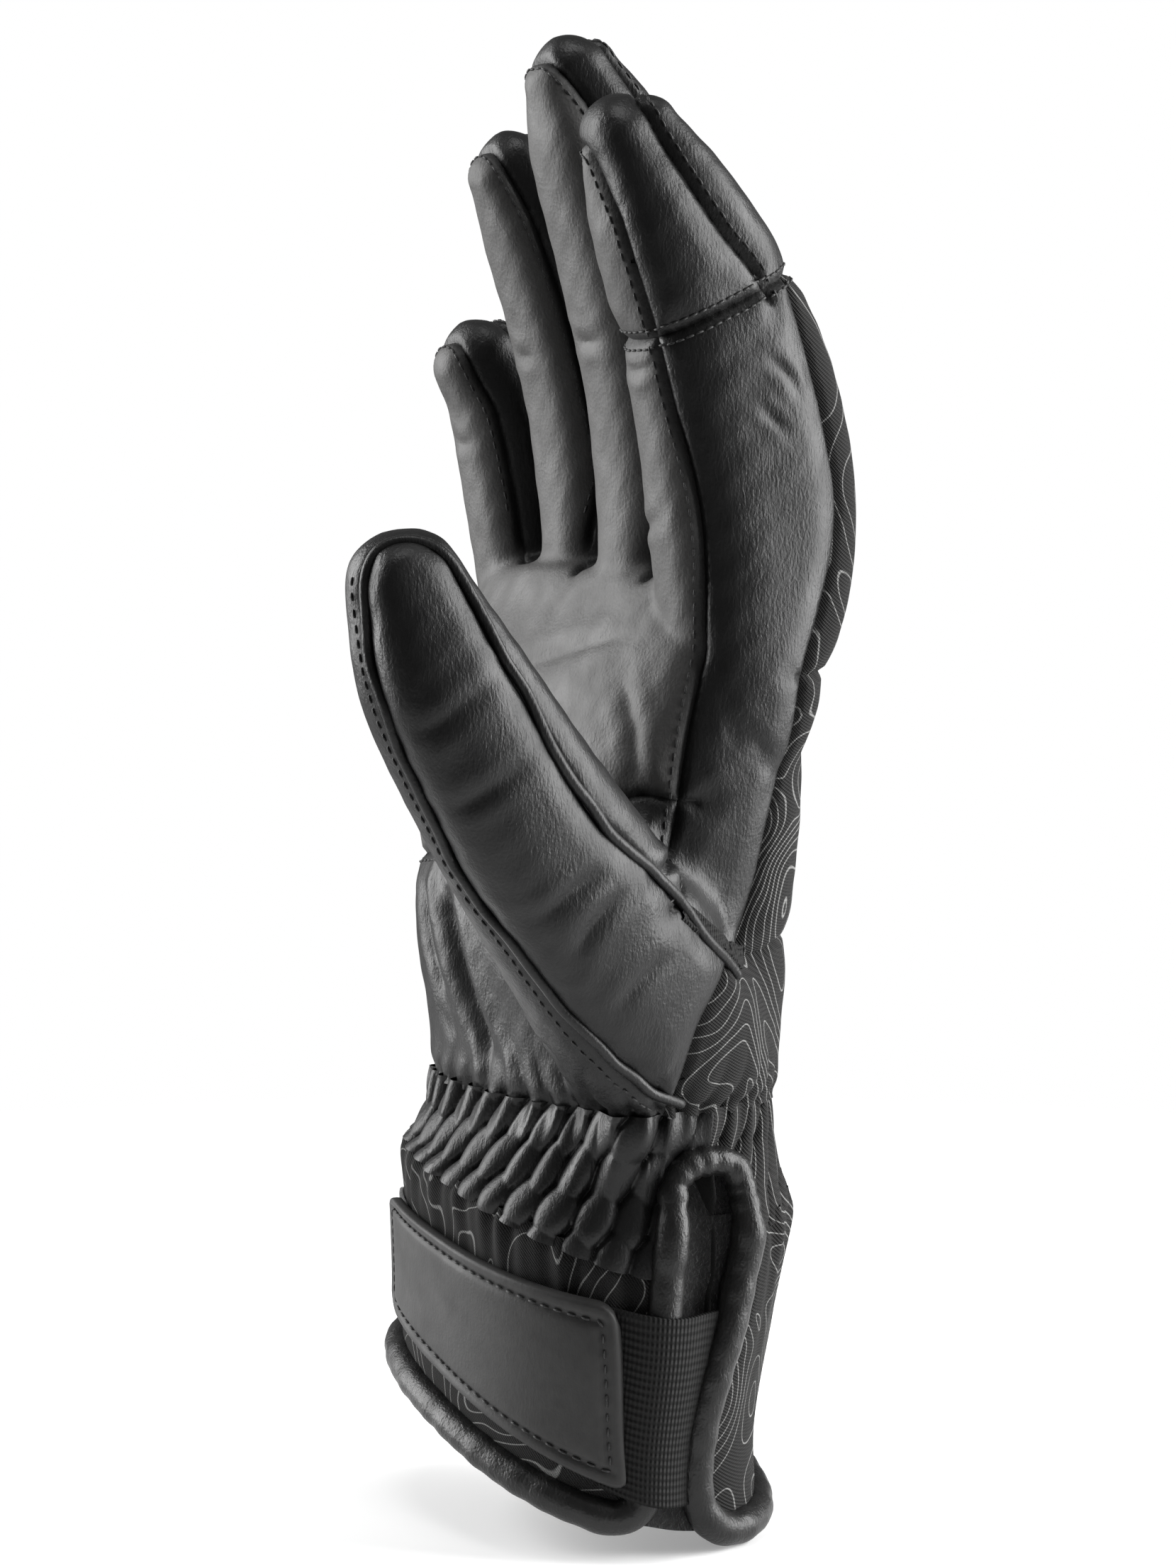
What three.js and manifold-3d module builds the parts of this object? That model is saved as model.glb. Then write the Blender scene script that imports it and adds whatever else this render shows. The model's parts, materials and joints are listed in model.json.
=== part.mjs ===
// Insulated ski glove for the right hand, built as separate panels, linings, bindings and a wrist strap.
// Millimetres. X runs across the hand (thumb side +X), Y through its thickness (palm -Y, back +Y),
// Z from the centre of the cuff opening at 0 to the fingertips.
// Each finger and the thumb has two rigid lengths, the hand and the cuff are one each, and the gaps
// between them are wedges that close when the joint reaches its limit.

import * as THREE from "three";
import { mergeVertices } from "three/addons/utils/BufferGeometryUtils.js";
import Module from "manifold-3d";

const wasm = await Module();
wasm.setup();

// ---- Driving dimensions ----

const CLEAR = 0.3; // between solids that touch on the real glove
const SHELL = 1.6; // leather or face fabric
const FINGER_WALL = 3.6; // leather with the insulation and lining bonded to it
const INSULATION = [SHELL + CLEAR, 4.4]; // inset of the hand's insulation from the outer surface
const HAND_LINING = [4.7, 5.7];
const CUFF_LINING = [SHELL + 2 * CLEAR, 3.5];
const KNUCKLE_PAD = 4; // how far the padded panel stands off the back of the hand
const BINDING_RADIUS = 3.1; // rolled leather edge
const HEM_Z = 6.5;
const CUFF_Z = [HEM_Z + 3, 60.5];
const SLIT_TOP = 55;
const GUSSET_Z = [13.5, 52];
const GUSSET_INSET = [4.3, 5.5]; // the gusset behind the slit lies inside the lining
const WRIST_Z = 72;
const WRIST_SLEEVE = [61, 82]; // gathered band that bends with the wrist

// Hand and cuff sections: centre z, centre x, centre y, half width, half thickness, corner exponent,
// and how much the section drops per millimetre towards the thumb and towards the back of the hand.
const HAND_SECTIONS = [
  [60, 0, 2, 36, 28.5, 2.5, 0.06, 0],
  [84, -1, 1.5, 39, 28.5, 2.6, 0, 0],
  [108, -1, 2.5, 43.5, 27.5, 2.8, 0, 0],
  [134, 0, 4.5, 47, 25.5, 3, 0, 0],
  [156, 0, 8, 49, 23, 3.4, 0, 0],
  [184, 0, 12, 50.5, 18, 4, 0, 0],
];
const CUFF_SECTIONS = [
  [2.5, -2, -3, 42, 31.5, 2.4, 0.3, 0.17],
  [20, -1, -1.5, 43, 33, 2.4, 0.27, 0.13],
  [40, 0, 0.5, 43.5, 34.5, 2.4, 0.2, 0.08],
  [56, 0, 1, 40.5, 32.5, 2.4, 0.12, 0.04],
  [68, 0, 2, 36, 28.5, 2.4, 0.06, 0],
];

// Spine stations: x, y, z, half width, half thickness. The last one is followed by a rounded end.
const FINGERS = {
  index: {
    spine: [
      [38, 9, 150, 12.6, 13.5], [38, 14.5, 179, 13, 16], [38, 12.5, 202, 13, 16],
      [38, 4, 220, 13, 15], [38, -7, 238, 12.5, 13.5], [37.5, -13, 249, 10, 10],
    ],
    knuckle: 181, bend: 219,
  },
  middle: {
    spine: [
      [12, 9, 150, 12.1, 13.5], [12, 12.5, 179, 12.1, 15], [12, 10, 206, 12.1, 14.5],
      [12, 3.5, 231, 12, 13.5], [12, -4.5, 252, 11.5, 12.5], [12, -10, 264, 9, 10],
    ],
    knuckle: 183, bend: 224,
  },
  ring: {
    spine: [
      [-13, 9, 148, 11.9, 13], [-13, 11.5, 177, 11.9, 14], [-13, 8, 202, 11.7, 13.5],
      [-13.3, 1.5, 223, 11.5, 13], [-13.7, -4.5, 239, 11, 12], [-14, -8, 248, 9, 9.5],
    ],
    knuckle: 180, bend: 217,
  },
  little: {
    spine: [
      [-37, 8, 142, 11, 12], [-37, 11.5, 170, 11.2, 12.5], [-37.5, 7.5, 191, 11.2, 12.5],
      [-38, 1.5, 206, 10.8, 12], [-38.5, -2.5, 214, 9, 10],
    ],
    knuckle: 173, bend: 199,
  },
};
const THUMB = {
  spine: [
    [30, 4, 84, 12, 18], [38, -12, 100, 12, 18], [45, -30, 118, 14, 17], [50, -47, 138, 14, 15],
    [52, -61, 156, 13, 13.5], [52, -68, 173, 10.5, 10.5],
  ],
  root: 109, bend: 143,
};
const KNUCKLE_RANGE = { flex: 50, extend: 12 };
const BEND_RANGE = { flex: 60, extend: 10 };
const THUMB_ROOT_RANGE = { flex: 20, extend: 8 };
const THUMB_BEND_RANGE = { flex: 50, extend: 10 };

// Angles round a section: 0 at the thumb side, 90 at the back, -90 at the palm, in degrees.
const SLIT = [-13, 2]; // the cuff is open between these
const TAB = [-128, -25]; // hook-and-loop tab, with its free end on the little-finger side
const STRAP_Z = [15.5, 45.5]; // the strap lies between these cuff sections
const STRAP_LIFT = 2.6; // height of the tab above the cuff, over the hook and loop patches
const LOOP_PATCH = [-136, -60]; // sewn to the cuff
const HOOK_PATCH = [-122, -70]; // under the tab, above the loop patch
const PATCH_TOP = 1.3; // height of the loop patch's face above the cuff
const TAB_THICKNESS = 2.4;
const TAB_CORNER = 7; // degrees and millimetres of rounding at the tab's corners

// ---- Sections and solids ----

// The table's row at height t (its column `key`), between its rows by a Catmull-Rom curve.
function rowAt(rows, key, t) {
  let i = rows.findIndex((row) => row[key] > t) - 1;
  if (i === -2) i = rows.length - 2;
  i = Math.max(0, i);
  const [b, c] = [rows[i], rows[i + 1]];
  const f = (t - b[key]) / (c[key] - b[key]);
  const a = rows[i - 1] ?? b.map((v, k) => 2 * v - c[k]);
  const d = rows[i + 2] ?? c.map((v, k) => 2 * v - b[k]);
  return b.map((v, k) => {
    const w = c[k];
    return 0.5 * (2 * v + (w - a[k]) * f + (2 * a[k] - 5 * v + 4 * w - d[k]) * f * f
      + (3 * v - a[k] - 3 * w + d[k]) * f ** 3);
  });
}

// Section of the hand or the cuff at a height.
function levelSection(rows) {
  return (z) => {
    const [, cx, cy, a, b, n, dropX, dropY] = rowAt(rows, 0, z);
    return {
      centre: new THREE.Vector3(cx, cy, z), across: new THREE.Vector3(1, 0, -dropX),
      back: new THREE.Vector3(0, 1, -dropY), a, b, n,
    };
  };
}

// Section of a finger or the thumb, square to its spine, at spine height z. Beyond the last station
// the spine runs straight on.
function spineSection(rows, n = 3) {
  const at = (z) => new THREE.Vector3(...rowAt(rows, 2, z).slice(0, 3));
  const last = rows.at(-1)[2];
  return (z) => {
    const height = Math.min(z, last);
    const [, , , a, b] = rowAt(rows, 2, height);
    const along = at(height).sub(at(height - 0.5)).normalize();
    const across = new THREE.Vector3(1, 0, 0).addScaledVector(along, -along.x).normalize();
    const centre = at(height).addScaledVector(along, (z - height) / along.z);
    return { centre, across, back: along.clone().cross(across), along, a, b, n };
  };
}

// A point on a section, inset from its edge. The edge is a superellipse with exponent n.
function onSection(s, degrees, inset = 0) {
  const [c, d] = [Math.cos, Math.sin].map((f) => f(THREE.MathUtils.degToRad(degrees)));
  const rounded = (v) => Math.sign(v) * Math.abs(v) ** (2 / s.n);
  return s.centre.clone()
    .addScaledVector(s.across, (s.a - inset) * rounded(c))
    .addScaledVector(s.back, (s.b - inset) * rounded(d));
}

function manifold(points, triangles) {
  const geometry = new THREE.BufferGeometry()
    .setAttribute("position", new THREE.Float32BufferAttribute(points.flatMap((p) => p.toArray()), 3))
    .setIndex(triangles);
  return fromGeometry(geometry);
}

function fromGeometry(geometry) {
  geometry.deleteAttribute("normal");
  geometry.deleteAttribute("uv");
  const merged = mergeVertices(geometry, 1e-4);
  return new wasm.Manifold(new wasm.Mesh({
    numProp: 3,
    vertProperties: merged.attributes.position.array,
    triVerts: new Uint32Array(merged.index.array),
  }));
}

// Two triangles for each cell of a grid of rows x columns points, closed round its columns or not.
function gridTriangles(rows, columns, closed, first = 0, flip = false) {
  const out = [];
  for (let i = 0; i < rows - 1; i++) {
    for (let j = 0; j < (closed ? columns : columns - 1); j++) {
      const k = (j + 1) % columns;
      const [p, q, r, s] = [i * columns + j, i * columns + k, (i + 1) * columns + k, (i + 1) * columns + j]
        .map((v) => v + first);
      out.push(...(flip ? [p, r, q, p, s, r] : [p, q, r, p, r, s]));
    }
  }
  return out;
}

// Closed solid lofted through rings of equally many points, with a fan over each end.
function loft(rings) {
  const m = rings[0].length;
  const points = rings.flat();
  const triangles = gridTriangles(rings.length, m, true);
  for (const [ring, up] of [[0, false], [rings.length - 1, true]]) {
    const centre = points.length;
    points.push(rings[ring].reduce((s, p) => s.add(p), new THREE.Vector3()).divideScalar(m));
    for (let j = 0; j < m; j++) {
      const [p, q] = [ring * m + j, ring * m + ((j + 1) % m)];
      triangles.push(...(up ? [p, q, centre] : [q, p, centre]));
    }
  }
  return manifold(points, triangles);
}

const steps = (from, to, n) => Array.from({ length: n + 1 }, (_, i) => from + ((to - from) * i) / n);

// Solid tube through a section function, between two heights.
function tube(section, from, to, { inset = 0, sides = 28, n = 7 } = {}) {
  const angles = steps(0, 360, sides).slice(0, -1);
  return loft(steps(from, to, n).map((z) => angles.map((t) => onSection(section(z), t, inset))));
}

// Solid finger or thumb with a rounded end beyond its last station.
function finger(section, from, last, inset = 0) {
  const angles = steps(0, 360, 14).slice(0, -1);
  const heights = steps(from, last, Math.round((last - from) / 12));
  const rings = heights.map((z) => angles.map((t) => onSection(section(z), t, inset)));
  const end = section(last);
  const reach = 0.75 * Math.min(end.a, end.b) - inset;
  for (const k of [0.6, 0.93]) {
    const scale = Math.sqrt(1 - k * k);
    const centre = end.centre.clone().addScaledVector(end.along, reach * k);
    const s = { ...end, a: end.a * scale, b: end.b * scale, centre };
    rings.push(angles.map((t) => onSection(s, t, inset * scale)));
  }
  return loft(rings);
}

// Curved plate on a section function: between two angles, two heights and two insets.
function plate(section, angles, heights, insets, { n = 12, m = 6, shape } = {}) {
  const us = steps(...angles, n);
  const vs = steps(0, 1, m);
  const layer = (inset) => vs.flatMap((v) => us.map((u) => {
    const [low, high] = shape ? shape(u) : heights;
    return onSection(section(low + (high - low) * v), u, inset);
  }));
  const [outer, inner] = [layer(insets[0]), layer(insets[1])];
  const w = us.length;
  const triangles = [
    ...gridTriangles(vs.length, w, false),
    ...gridTriangles(vs.length, w, false, outer.length, true),
  ];
  const rim = [
    ...us.map((_, j) => j), ...vs.slice(1).map((_, i) => (i + 1) * w + w - 1),
    ...us.slice(1).map((_, j) => m * w + w - 2 - j), ...vs.slice(1, -1).map((_, i) => (m - 1 - i) * w),
  ];
  rim.forEach((p, i) => {
    const q = rim[(i + 1) % rim.length];
    triangles.push(q, p, p + outer.length, q, p + outer.length, q + outer.length);
  });
  return manifold([...outer, ...inner], triangles);
}

// The region of a tube's surroundings between two shares of its half thickness, to cut its panels apart.
function slab(section, from, to, low, high, n = 4) {
  const corners = [[-1, low], [1, low], [1, high], [-1, high]];
  return loft(steps(from, to, n).map((z) => {
    const s = section(z);
    return corners.map(([u, v]) => s.centre.clone()
      .addScaledVector(s.across, u * (s.a + 6))
      .addScaledVector(s.back, v * s.b));
  }));
}

// Round bar along a smooth curve.
function bar(points, radius, segments) {
  const circle = new THREE.Shape().absarc(0, 0, radius, 0, 2 * Math.PI);
  return fromGeometry(new THREE.ExtrudeGeometry(circle, {
    steps: segments, curveSegments: 4, extrudePath: new THREE.CatmullRomCurve3(points),
  }));
}

// ---- Joints ----

// A joint's wedge reaches this far from its hinge: to the palm side, where the two lengths meet when the
// joint is fully flexed, and to the back.
const WEDGE_PALM = 17;
const WEDGE_BACK = 32;
const [PALM_CLEAR, FAR] = [60, 90]; // beyond any part of the glove, sideways and along the spine

// Hinge across a section, a third of the way in from its palm side (or on its spine), and the
// directions it is described in: along the spine, away from the flexing side, and the axis.
function joint(section, z, range, { offset = -1 / 3, axis = "across" } = {}) {
  const s = section(z);
  const away = axis === "across" ? s.back.clone() : s.across.clone();
  const hinge = axis === "across" ? s.across.clone() : s.back.clone().negate();
  const half = axis === "across" ? s.b : s.a;
  return { at: s.centre.clone().addScaledVector(away, offset * half), along: s.along, away, hinge, range };
}

// Everything on one side of a joint (side 1 beyond it, -1 before it), up to the wedge that the joint needs.
function sideOfJoint({ at, along, away, range }, side, width = 60) {
  const [flex, extend] = [range.flex, range.extend].map((d) => THREE.MathUtils.degToRad(d / 2 + 1));
  const start = CLEAR / 2;
  const outline = [
    [-WEDGE_PALM * Math.cos(flex), start + WEDGE_PALM * Math.sin(flex)], [0, start],
    [WEDGE_BACK * Math.cos(extend), start + WEDGE_BACK * Math.sin(extend)],
    [WEDGE_BACK, FAR], [-PALM_CLEAR, FAR], [-PALM_CLEAR, start + WEDGE_PALM * Math.sin(flex)],
  ];
  return prism(outline, width, away, along.clone().multiplyScalar(side), at);
}

// Everything beyond a joint and its wedge, so that what is left of a neighbour clears the joint's travel.
function beyondWedge({ at, along, away, range }, width) {
  const [flex, extend] = [range.flex, range.extend].map((d) => THREE.MathUtils.degToRad(d / 2 + 1));
  const start = -CLEAR / 2;
  const outline = [
    [-PALM_CLEAR, start - WEDGE_PALM * Math.sin(flex)],
    [-WEDGE_PALM * Math.cos(flex), start - WEDGE_PALM * Math.sin(flex)],
    [0, start], [WEDGE_BACK * Math.cos(extend), start - WEDGE_BACK * Math.sin(extend)],
    [WEDGE_BACK, FAR], [-PALM_CLEAR, FAR],
  ];
  return prism(outline, width, away, along, at);
}

// An outline drawn along `away` and `up`, extruded equally far to both sides of the plane through `at`.
function prism(outline, width, away, up, at) {
  const shape = new THREE.Shape(outline.map(([u, v]) => new THREE.Vector2(u, v)));
  const geometry = new THREE.ExtrudeGeometry(shape, { depth: width, bevelEnabled: false });
  geometry.translate(0, 0, -width / 2);
  geometry.applyMatrix4(new THREE.Matrix4().makeBasis(away, up, away.clone().cross(up)).setPosition(at));
  return fromGeometry(geometry);
}

// Matrix of a turn about a joint, as a plain array.
function turnAbout({ at, hinge }, degrees) {
  const turn = new THREE.Matrix4().makeRotationAxis(hinge, THREE.MathUtils.degToRad(degrees));
  const [there, home] = [at, at.clone().negate()].map((v) => new THREE.Matrix4().makeTranslation(v));
  return there.multiply(turn).multiply(home).toArray();
}

// ---- Assembly ----

const glove = new THREE.Group();
const joints = {};
const MATERIALS = {
  leather: { color: 0x1b1a1a, roughness: 0.52, metalness: 0 },
  leather_light: { color: 0x262524, roughness: 0.6, metalness: 0 },
  fabric: { color: 0x1f1d1c, roughness: 0.9, metalness: 0 },
  insulation: { color: 0xd8d8d4, roughness: 1, metalness: 0 },
  lining: { color: 0x2a2a2c, roughness: 1, metalness: 0 },
  elastic: { color: 0x151413, roughness: 0.85, metalness: 0 },
  hook: { color: 0x101010, roughness: 0.7, metalness: 0 },
};

function add(name, solid, material) {
  const m = solid.getMesh();
  const geometry = new THREE.BufferGeometry()
    .setAttribute("position", new THREE.BufferAttribute(m.vertProperties, 3))
    .setIndex(new THREE.BufferAttribute(m.triVerts, 1));
  geometry.computeVertexNormals();
  const mesh = new THREE.Mesh(geometry, new THREE.MeshStandardMaterial(MATERIALS[material]));
  mesh.name = name;
  glove.add(mesh);
}

// The largest body of a solid: a cut can leave a crumb beside it.
function main(solid) {
  return solid.decompose().sort((p, q) => q.volume() - p.volume())[0];
}

// A solid's bodies, from the little finger's side to the thumb's.
function sideBySide(solid) {
  const middle = (s) => (s.boundingBox().min[0] + s.boundingBox().max[0]) / 2;
  return solid.decompose().filter((s) => s.volume() > 20).sort((p, q) => middle(p) - middle(q));
}

const handSection = levelSection(HAND_SECTIONS);
const cuffSection = levelSection(CUFF_SECTIONS);
const PALM_SEAM = -0.66; // share of the half thickness where the palm panel ends
const BACK_SEAM = 0.66;

// Palm, back and side walls of one length of a finger. The tip's side wall is one piece round its end.
function fingerLength(name, shell, section, from, to, isTip) {
  const cut = (low, high) => shell.intersect(slab(section, from, to, low, high));
  add(`${name}_palm`, main(cut(-2, PALM_SEAM)), "leather_light");
  add(`${name}_back`, main(cut(BACK_SEAM, 2)), isTip ? "leather" : "fabric");
  const walls = cut(PALM_SEAM + CLEAR / 12, BACK_SEAM - CLEAR / 12);
  if (isTip) {
    add(`${name}_fourchette`, main(walls), "leather");
    return;
  }
  const [little, thumb] = sideBySide(walls);
  add(`${name}_fourchette_little_side`, little, "leather");
  add(`${name}_fourchette_thumb_side`, thumb, "leather");
}

const stalls = []; // where the hand's panels end at each finger
function addFinger(name, { spine, knuckle, bend }) {
  const section = spineSection(spine);
  const [first, last] = [spine[1][2] - 14, spine.at(-1)[2]];
  const shell = finger(section, first, last).subtract(finger(section, first - 2, last, FINGER_WALL));
  const [low, high] = [joint(section, knuckle, KNUCKLE_RANGE), joint(section, bend, BEND_RANGE)];
  stalls.push({ hinge: low, width: 2 * spine[1][3] + 2 * CLEAR + 2 });
  joints[`${name}_knuckle`] = low;
  joints[`${name}_bend`] = high;
  fingerLength(`${name}_base`, shell.intersect(sideOfJoint(low, 1)).intersect(sideOfJoint(high, -1)),
    section, first, last, false);
  fingerLength(`${name}_tip`, shell.intersect(sideOfJoint(high, 1)), section, bend - 12, last + 14, true);
}
Object.entries(FINGERS).forEach(([name, spec]) => addFinger(name, spec));

// Thumb: an outer panel over the nail side and an inner one round the pad, in two lengths on a short root.
const thumbSection = spineSection(THUMB.spine, 2.6);
const THUMB_TOP = THUMB.spine.at(-1)[2];
const thumbRoot = joint(thumbSection, THUMB.root, THUMB_ROOT_RANGE, { offset: 0 });
const thumbBend = joint(thumbSection, THUMB.bend, THUMB_BEND_RANGE, { offset: 0, axis: "back" });
Object.assign(joints, { thumb_root: thumbRoot, thumb_bend: thumbBend });
const thumbHole = finger(thumbSection, 86, THUMB_TOP, FINGER_WALL);
const handSolid = (inset) => tube(handSection, 60, 186, { n: 7, sides: 24, inset });
const thumbShell = finger(thumbSection, 88, THUMB_TOP).subtract(thumbHole).subtract(handSolid(-CLEAR));

// The outer panel is what lies further to the thumb side than this share of the half width.
function thumbLength(name, shell, from, to) {
  const parts = (low, high) => loft(steps(from, to, 8).map((z) => {
    const s = thumbSection(z);
    return [[low, -1], [high, -1], [high, 1], [low, 1]].map(([u, v]) => s.centre.clone()
      .addScaledVector(s.across, u * s.a).addScaledVector(s.back, v * (s.b + 6)));
  }));
  add(`${name}_inner`, main(shell.intersect(parts(-2, 0.5))), "leather_light");
  add(`${name}_outer`, main(shell.intersect(parts(0.5 + CLEAR / 12, 2))), "leather");
}
add("thumb_root", main(thumbShell.intersect(sideOfJoint(thumbRoot, -1))), "leather");
// Where the hand comes to, seen from the thumb, when the thumb closes on the palm.
const closedHand = handSolid(-1).transform(turnAbout(thumbRoot, THUMB_ROOT_RANGE.extend));
const thumbBase = thumbShell.intersect(sideOfJoint(thumbRoot, 1)).intersect(sideOfJoint(thumbBend, -1));
thumbLength("thumb_base", thumbBase.subtract(closedHand), 100, 165);
thumbLength("thumb_tip", thumbShell.intersect(sideOfJoint(thumbBend, 1)), 130, THUMB_TOP + 14);

// Hand: face panels, insulation and lining, all open at the wrist, at the fingers and into the thumb.
function handLayer([outer, inner], top = 186) {
  const [low, high] = [WRIST_SLEEVE[1] + CLEAR, top];
  let layer = tube(handSection, low, high, { n: 7, sides: 24, inset: outer })
    .subtract(tube(handSection, low - 2, high + 2, { n: 7, sides: 24, inset: inner }))
    .subtract(thumbHole);
  return stalls.reduce((rest, { hinge, width }) => rest.subtract(beyondWedge(hinge, width)), layer);
}
const handCut = (layer, low, high) => layer.intersect(slab(handSection, 62, 190, low, high, 5));
const face = handLayer([0, SHELL]);
add("palm_panel", main(handCut(face, -2, PALM_SEAM)), "leather_light");
add("back_panel", main(handCut(face, BACK_SEAM, 2)), "fabric");
const [littleSide, indexSide] = sideBySide(handCut(face, PALM_SEAM + CLEAR / 12, BACK_SEAM - CLEAR / 12));
add("little_side_panel", littleSide, "leather");
add("index_side_panel", indexSide, "leather");
const insulation = handLayer(INSULATION, 176);
add("palm_insulation", main(handCut(insulation, -2, -0.62)), "insulation");
add("back_insulation", main(handCut(insulation, 0.62, 2)), "insulation");
add("hand_lining", main(handLayer(HAND_LINING, 168)), "lining");
const pad = plate(handSection, [58, 122], [140, 172], [-KNUCKLE_PAD, -CLEAR], { n: 8, m: 4 });
add("knuckle_pad", pad, "fabric");

// Wrist: a gathered sleeve that bends with the hand, and the elastic that gathers it.
add("wrist_sleeve", tube(handSection, ...WRIST_SLEEVE, { n: 4, sides: 28 })
  .subtract(tube(handSection, 58, 90, { n: 4, sides: 28, inset: SHELL })), "leather");
const elastic = plate(handSection, [-170, -10], [68, 76], [SHELL + CLEAR, 2.9], { n: 16, m: 1 });
add("wrist_elastic", elastic, "elastic");

// Cuff: palm and back flaps that meet on the little-finger side and part at the slit. Rolled leather
// edges run along both hems and round the slit, and the cloth stops short of them.
const edge = (u, z) => onSection(cuffSection(z), u, SHELL / 2);
const hemEdge = (from, to) => steps(from, to, 14).map((u) => edge(u, HEM_Z));
const slitMiddle = (SLIT[0] + SLIT[1]) / 2;
const slitEdge = [
  edge(SLIT[0] - 9.5, HEM_Z + 0.8), edge(SLIT[0] - 3.5, 12.5), edge(SLIT[0], 24), edge(SLIT[0], 40),
  edge(SLIT[0] + 2, 51), edge(slitMiddle, SLIT_TOP), edge(SLIT[1] - 2, 51), edge(SLIT[1], 40),
  edge(SLIT[1], 24), edge(SLIT[1] + 3.5, 12.5), edge(SLIT[1] + 9.5, HEM_Z + 0.8),
];
const bindings = {
  slit_binding: [slitEdge, 26],
  hem_binding_palm: [hemEdge(-179, SLIT[0] - 15), 16],
  hem_binding_back: [hemEdge(SLIT[1] + 15, 180), 16],
};
for (const [name, [curve, segments]] of Object.entries(bindings)) {
  add(name, bar(curve, BINDING_RADIUS, segments), "leather");
}
const cutOut = Object.values(bindings)
  .map(([curve, segments]) => bar(curve, BINDING_RADIUS + 2 * CLEAR, segments))
  .reduce((all, next) => all.add(next));
const cuffPlate = (angles, heights, insets, n) =>
  main(plate(cuffSection, angles, heights, insets, { n, m: 4 }).subtract(cutOut));
add("cuff_palm_flap", cuffPlate([-179.8, SLIT[0]], CUFF_Z, [0, SHELL], 14), "fabric");
add("cuff_back_flap", cuffPlate([SLIT[1], 179.8], CUFF_Z, [0, SHELL], 14), "fabric");
const lining = cuffPlate([SLIT[1] + 8, 352 + SLIT[0]], [CUFF_Z[0], CUFF_Z[1] - 2], CUFF_LINING, 24);
add("cuff_lining", lining, "lining");
const gusset = plate(cuffSection, [SLIT[0] - 7, SLIT[1] + 7], GUSSET_Z, GUSSET_INSET, { n: 4, m: 4 });
add("slit_gusset", gusset, "elastic");

// Strap: the elastic starts at the slit's far edge, crosses it and carries the tab, whose hooks hold a
// patch on the palm flap.
const patch = (angles, insets, [low, high], n) =>
  plate(cuffSection, angles, [low, high], insets.map((v) => -v), { n, m: 2 });
const [TAB_UNDER, TAB_TOP] = [STRAP_LIFT + CLEAR, STRAP_LIFT + CLEAR + TAB_THICKNESS];
const [loopHeights, hookHeights] = [2, 3].map((margin) => [STRAP_Z[0] + margin, STRAP_Z[1] - margin]);
add("loop_patch", patch(LOOP_PATCH, [PATCH_TOP, CLEAR], loopHeights, 8), "hook");
add("hook_patch", patch(HOOK_PATCH, [STRAP_LIFT, PATCH_TOP + CLEAR], hookHeights, 8), "hook");
const tabHeights = (u) => {
  const fromEnd = Math.min(u - TAB[0], TAB[1] - u);
  const rounding = TAB_CORNER * (1 - Math.sqrt(1 - (1 - Math.min(fromEnd / TAB_CORNER, 1)) ** 2));
  return [STRAP_Z[0] + rounding, STRAP_Z[1] - rounding];
};
const tab = plate(cuffSection, TAB, STRAP_Z, [-TAB_TOP, -TAB_UNDER], { n: 20, m: 3, shape: tabHeights });
add("strap_tab", tab, "leather");
const STRAP_SEAM = SLIT[1] - 5.5; // angle of the seam that the strap turns about
const tape = patch([TAB[1] + 0.5, STRAP_SEAM], [TAB_TOP - 0.5, TAB_UNDER + 0.3], STRAP_Z, 6);
add("strap_elastic", tape, "elastic");
const strapEdge = STRAP_Z.map((z) => onSection(cuffSection(z), STRAP_SEAM + 0.1, -TAB_TOP));
joints.strap = {
  at: strapEdge[0].clone().add(strapEdge[1]).divideScalar(2),
  hinge: strapEdge[1].clone().sub(strapEdge[0]).normalize(),
};
joints.wrist = { at: new THREE.Vector3(0, 2, WRIST_Z), hinge: new THREE.Vector3(1, 0, 0) };

glove.userData.joints = joints;
export default glove;
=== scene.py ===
"""Leather ski glove for the right hand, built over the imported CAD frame.

The hand, fingers and thumb are one stuffed skin, lofted, joined and smoothed. Seams are drawn on it, the
skin is cut along them, and every panel takes its own material. The cuff, its bindings, the strap and the
linings are separate pieces. Lengths are in millimetres, and angles in degrees. +X is the thumb's side, +Y
the back of the hand and +Z the fingertips. Meshes are scaled to metres when they are made.
"""

import json
import math

import bmesh
import bpy
import numpy as np
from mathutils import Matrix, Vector
from mathutils.bvhtree import BVHTree
from mathutils.kdtree import KDTree

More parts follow.
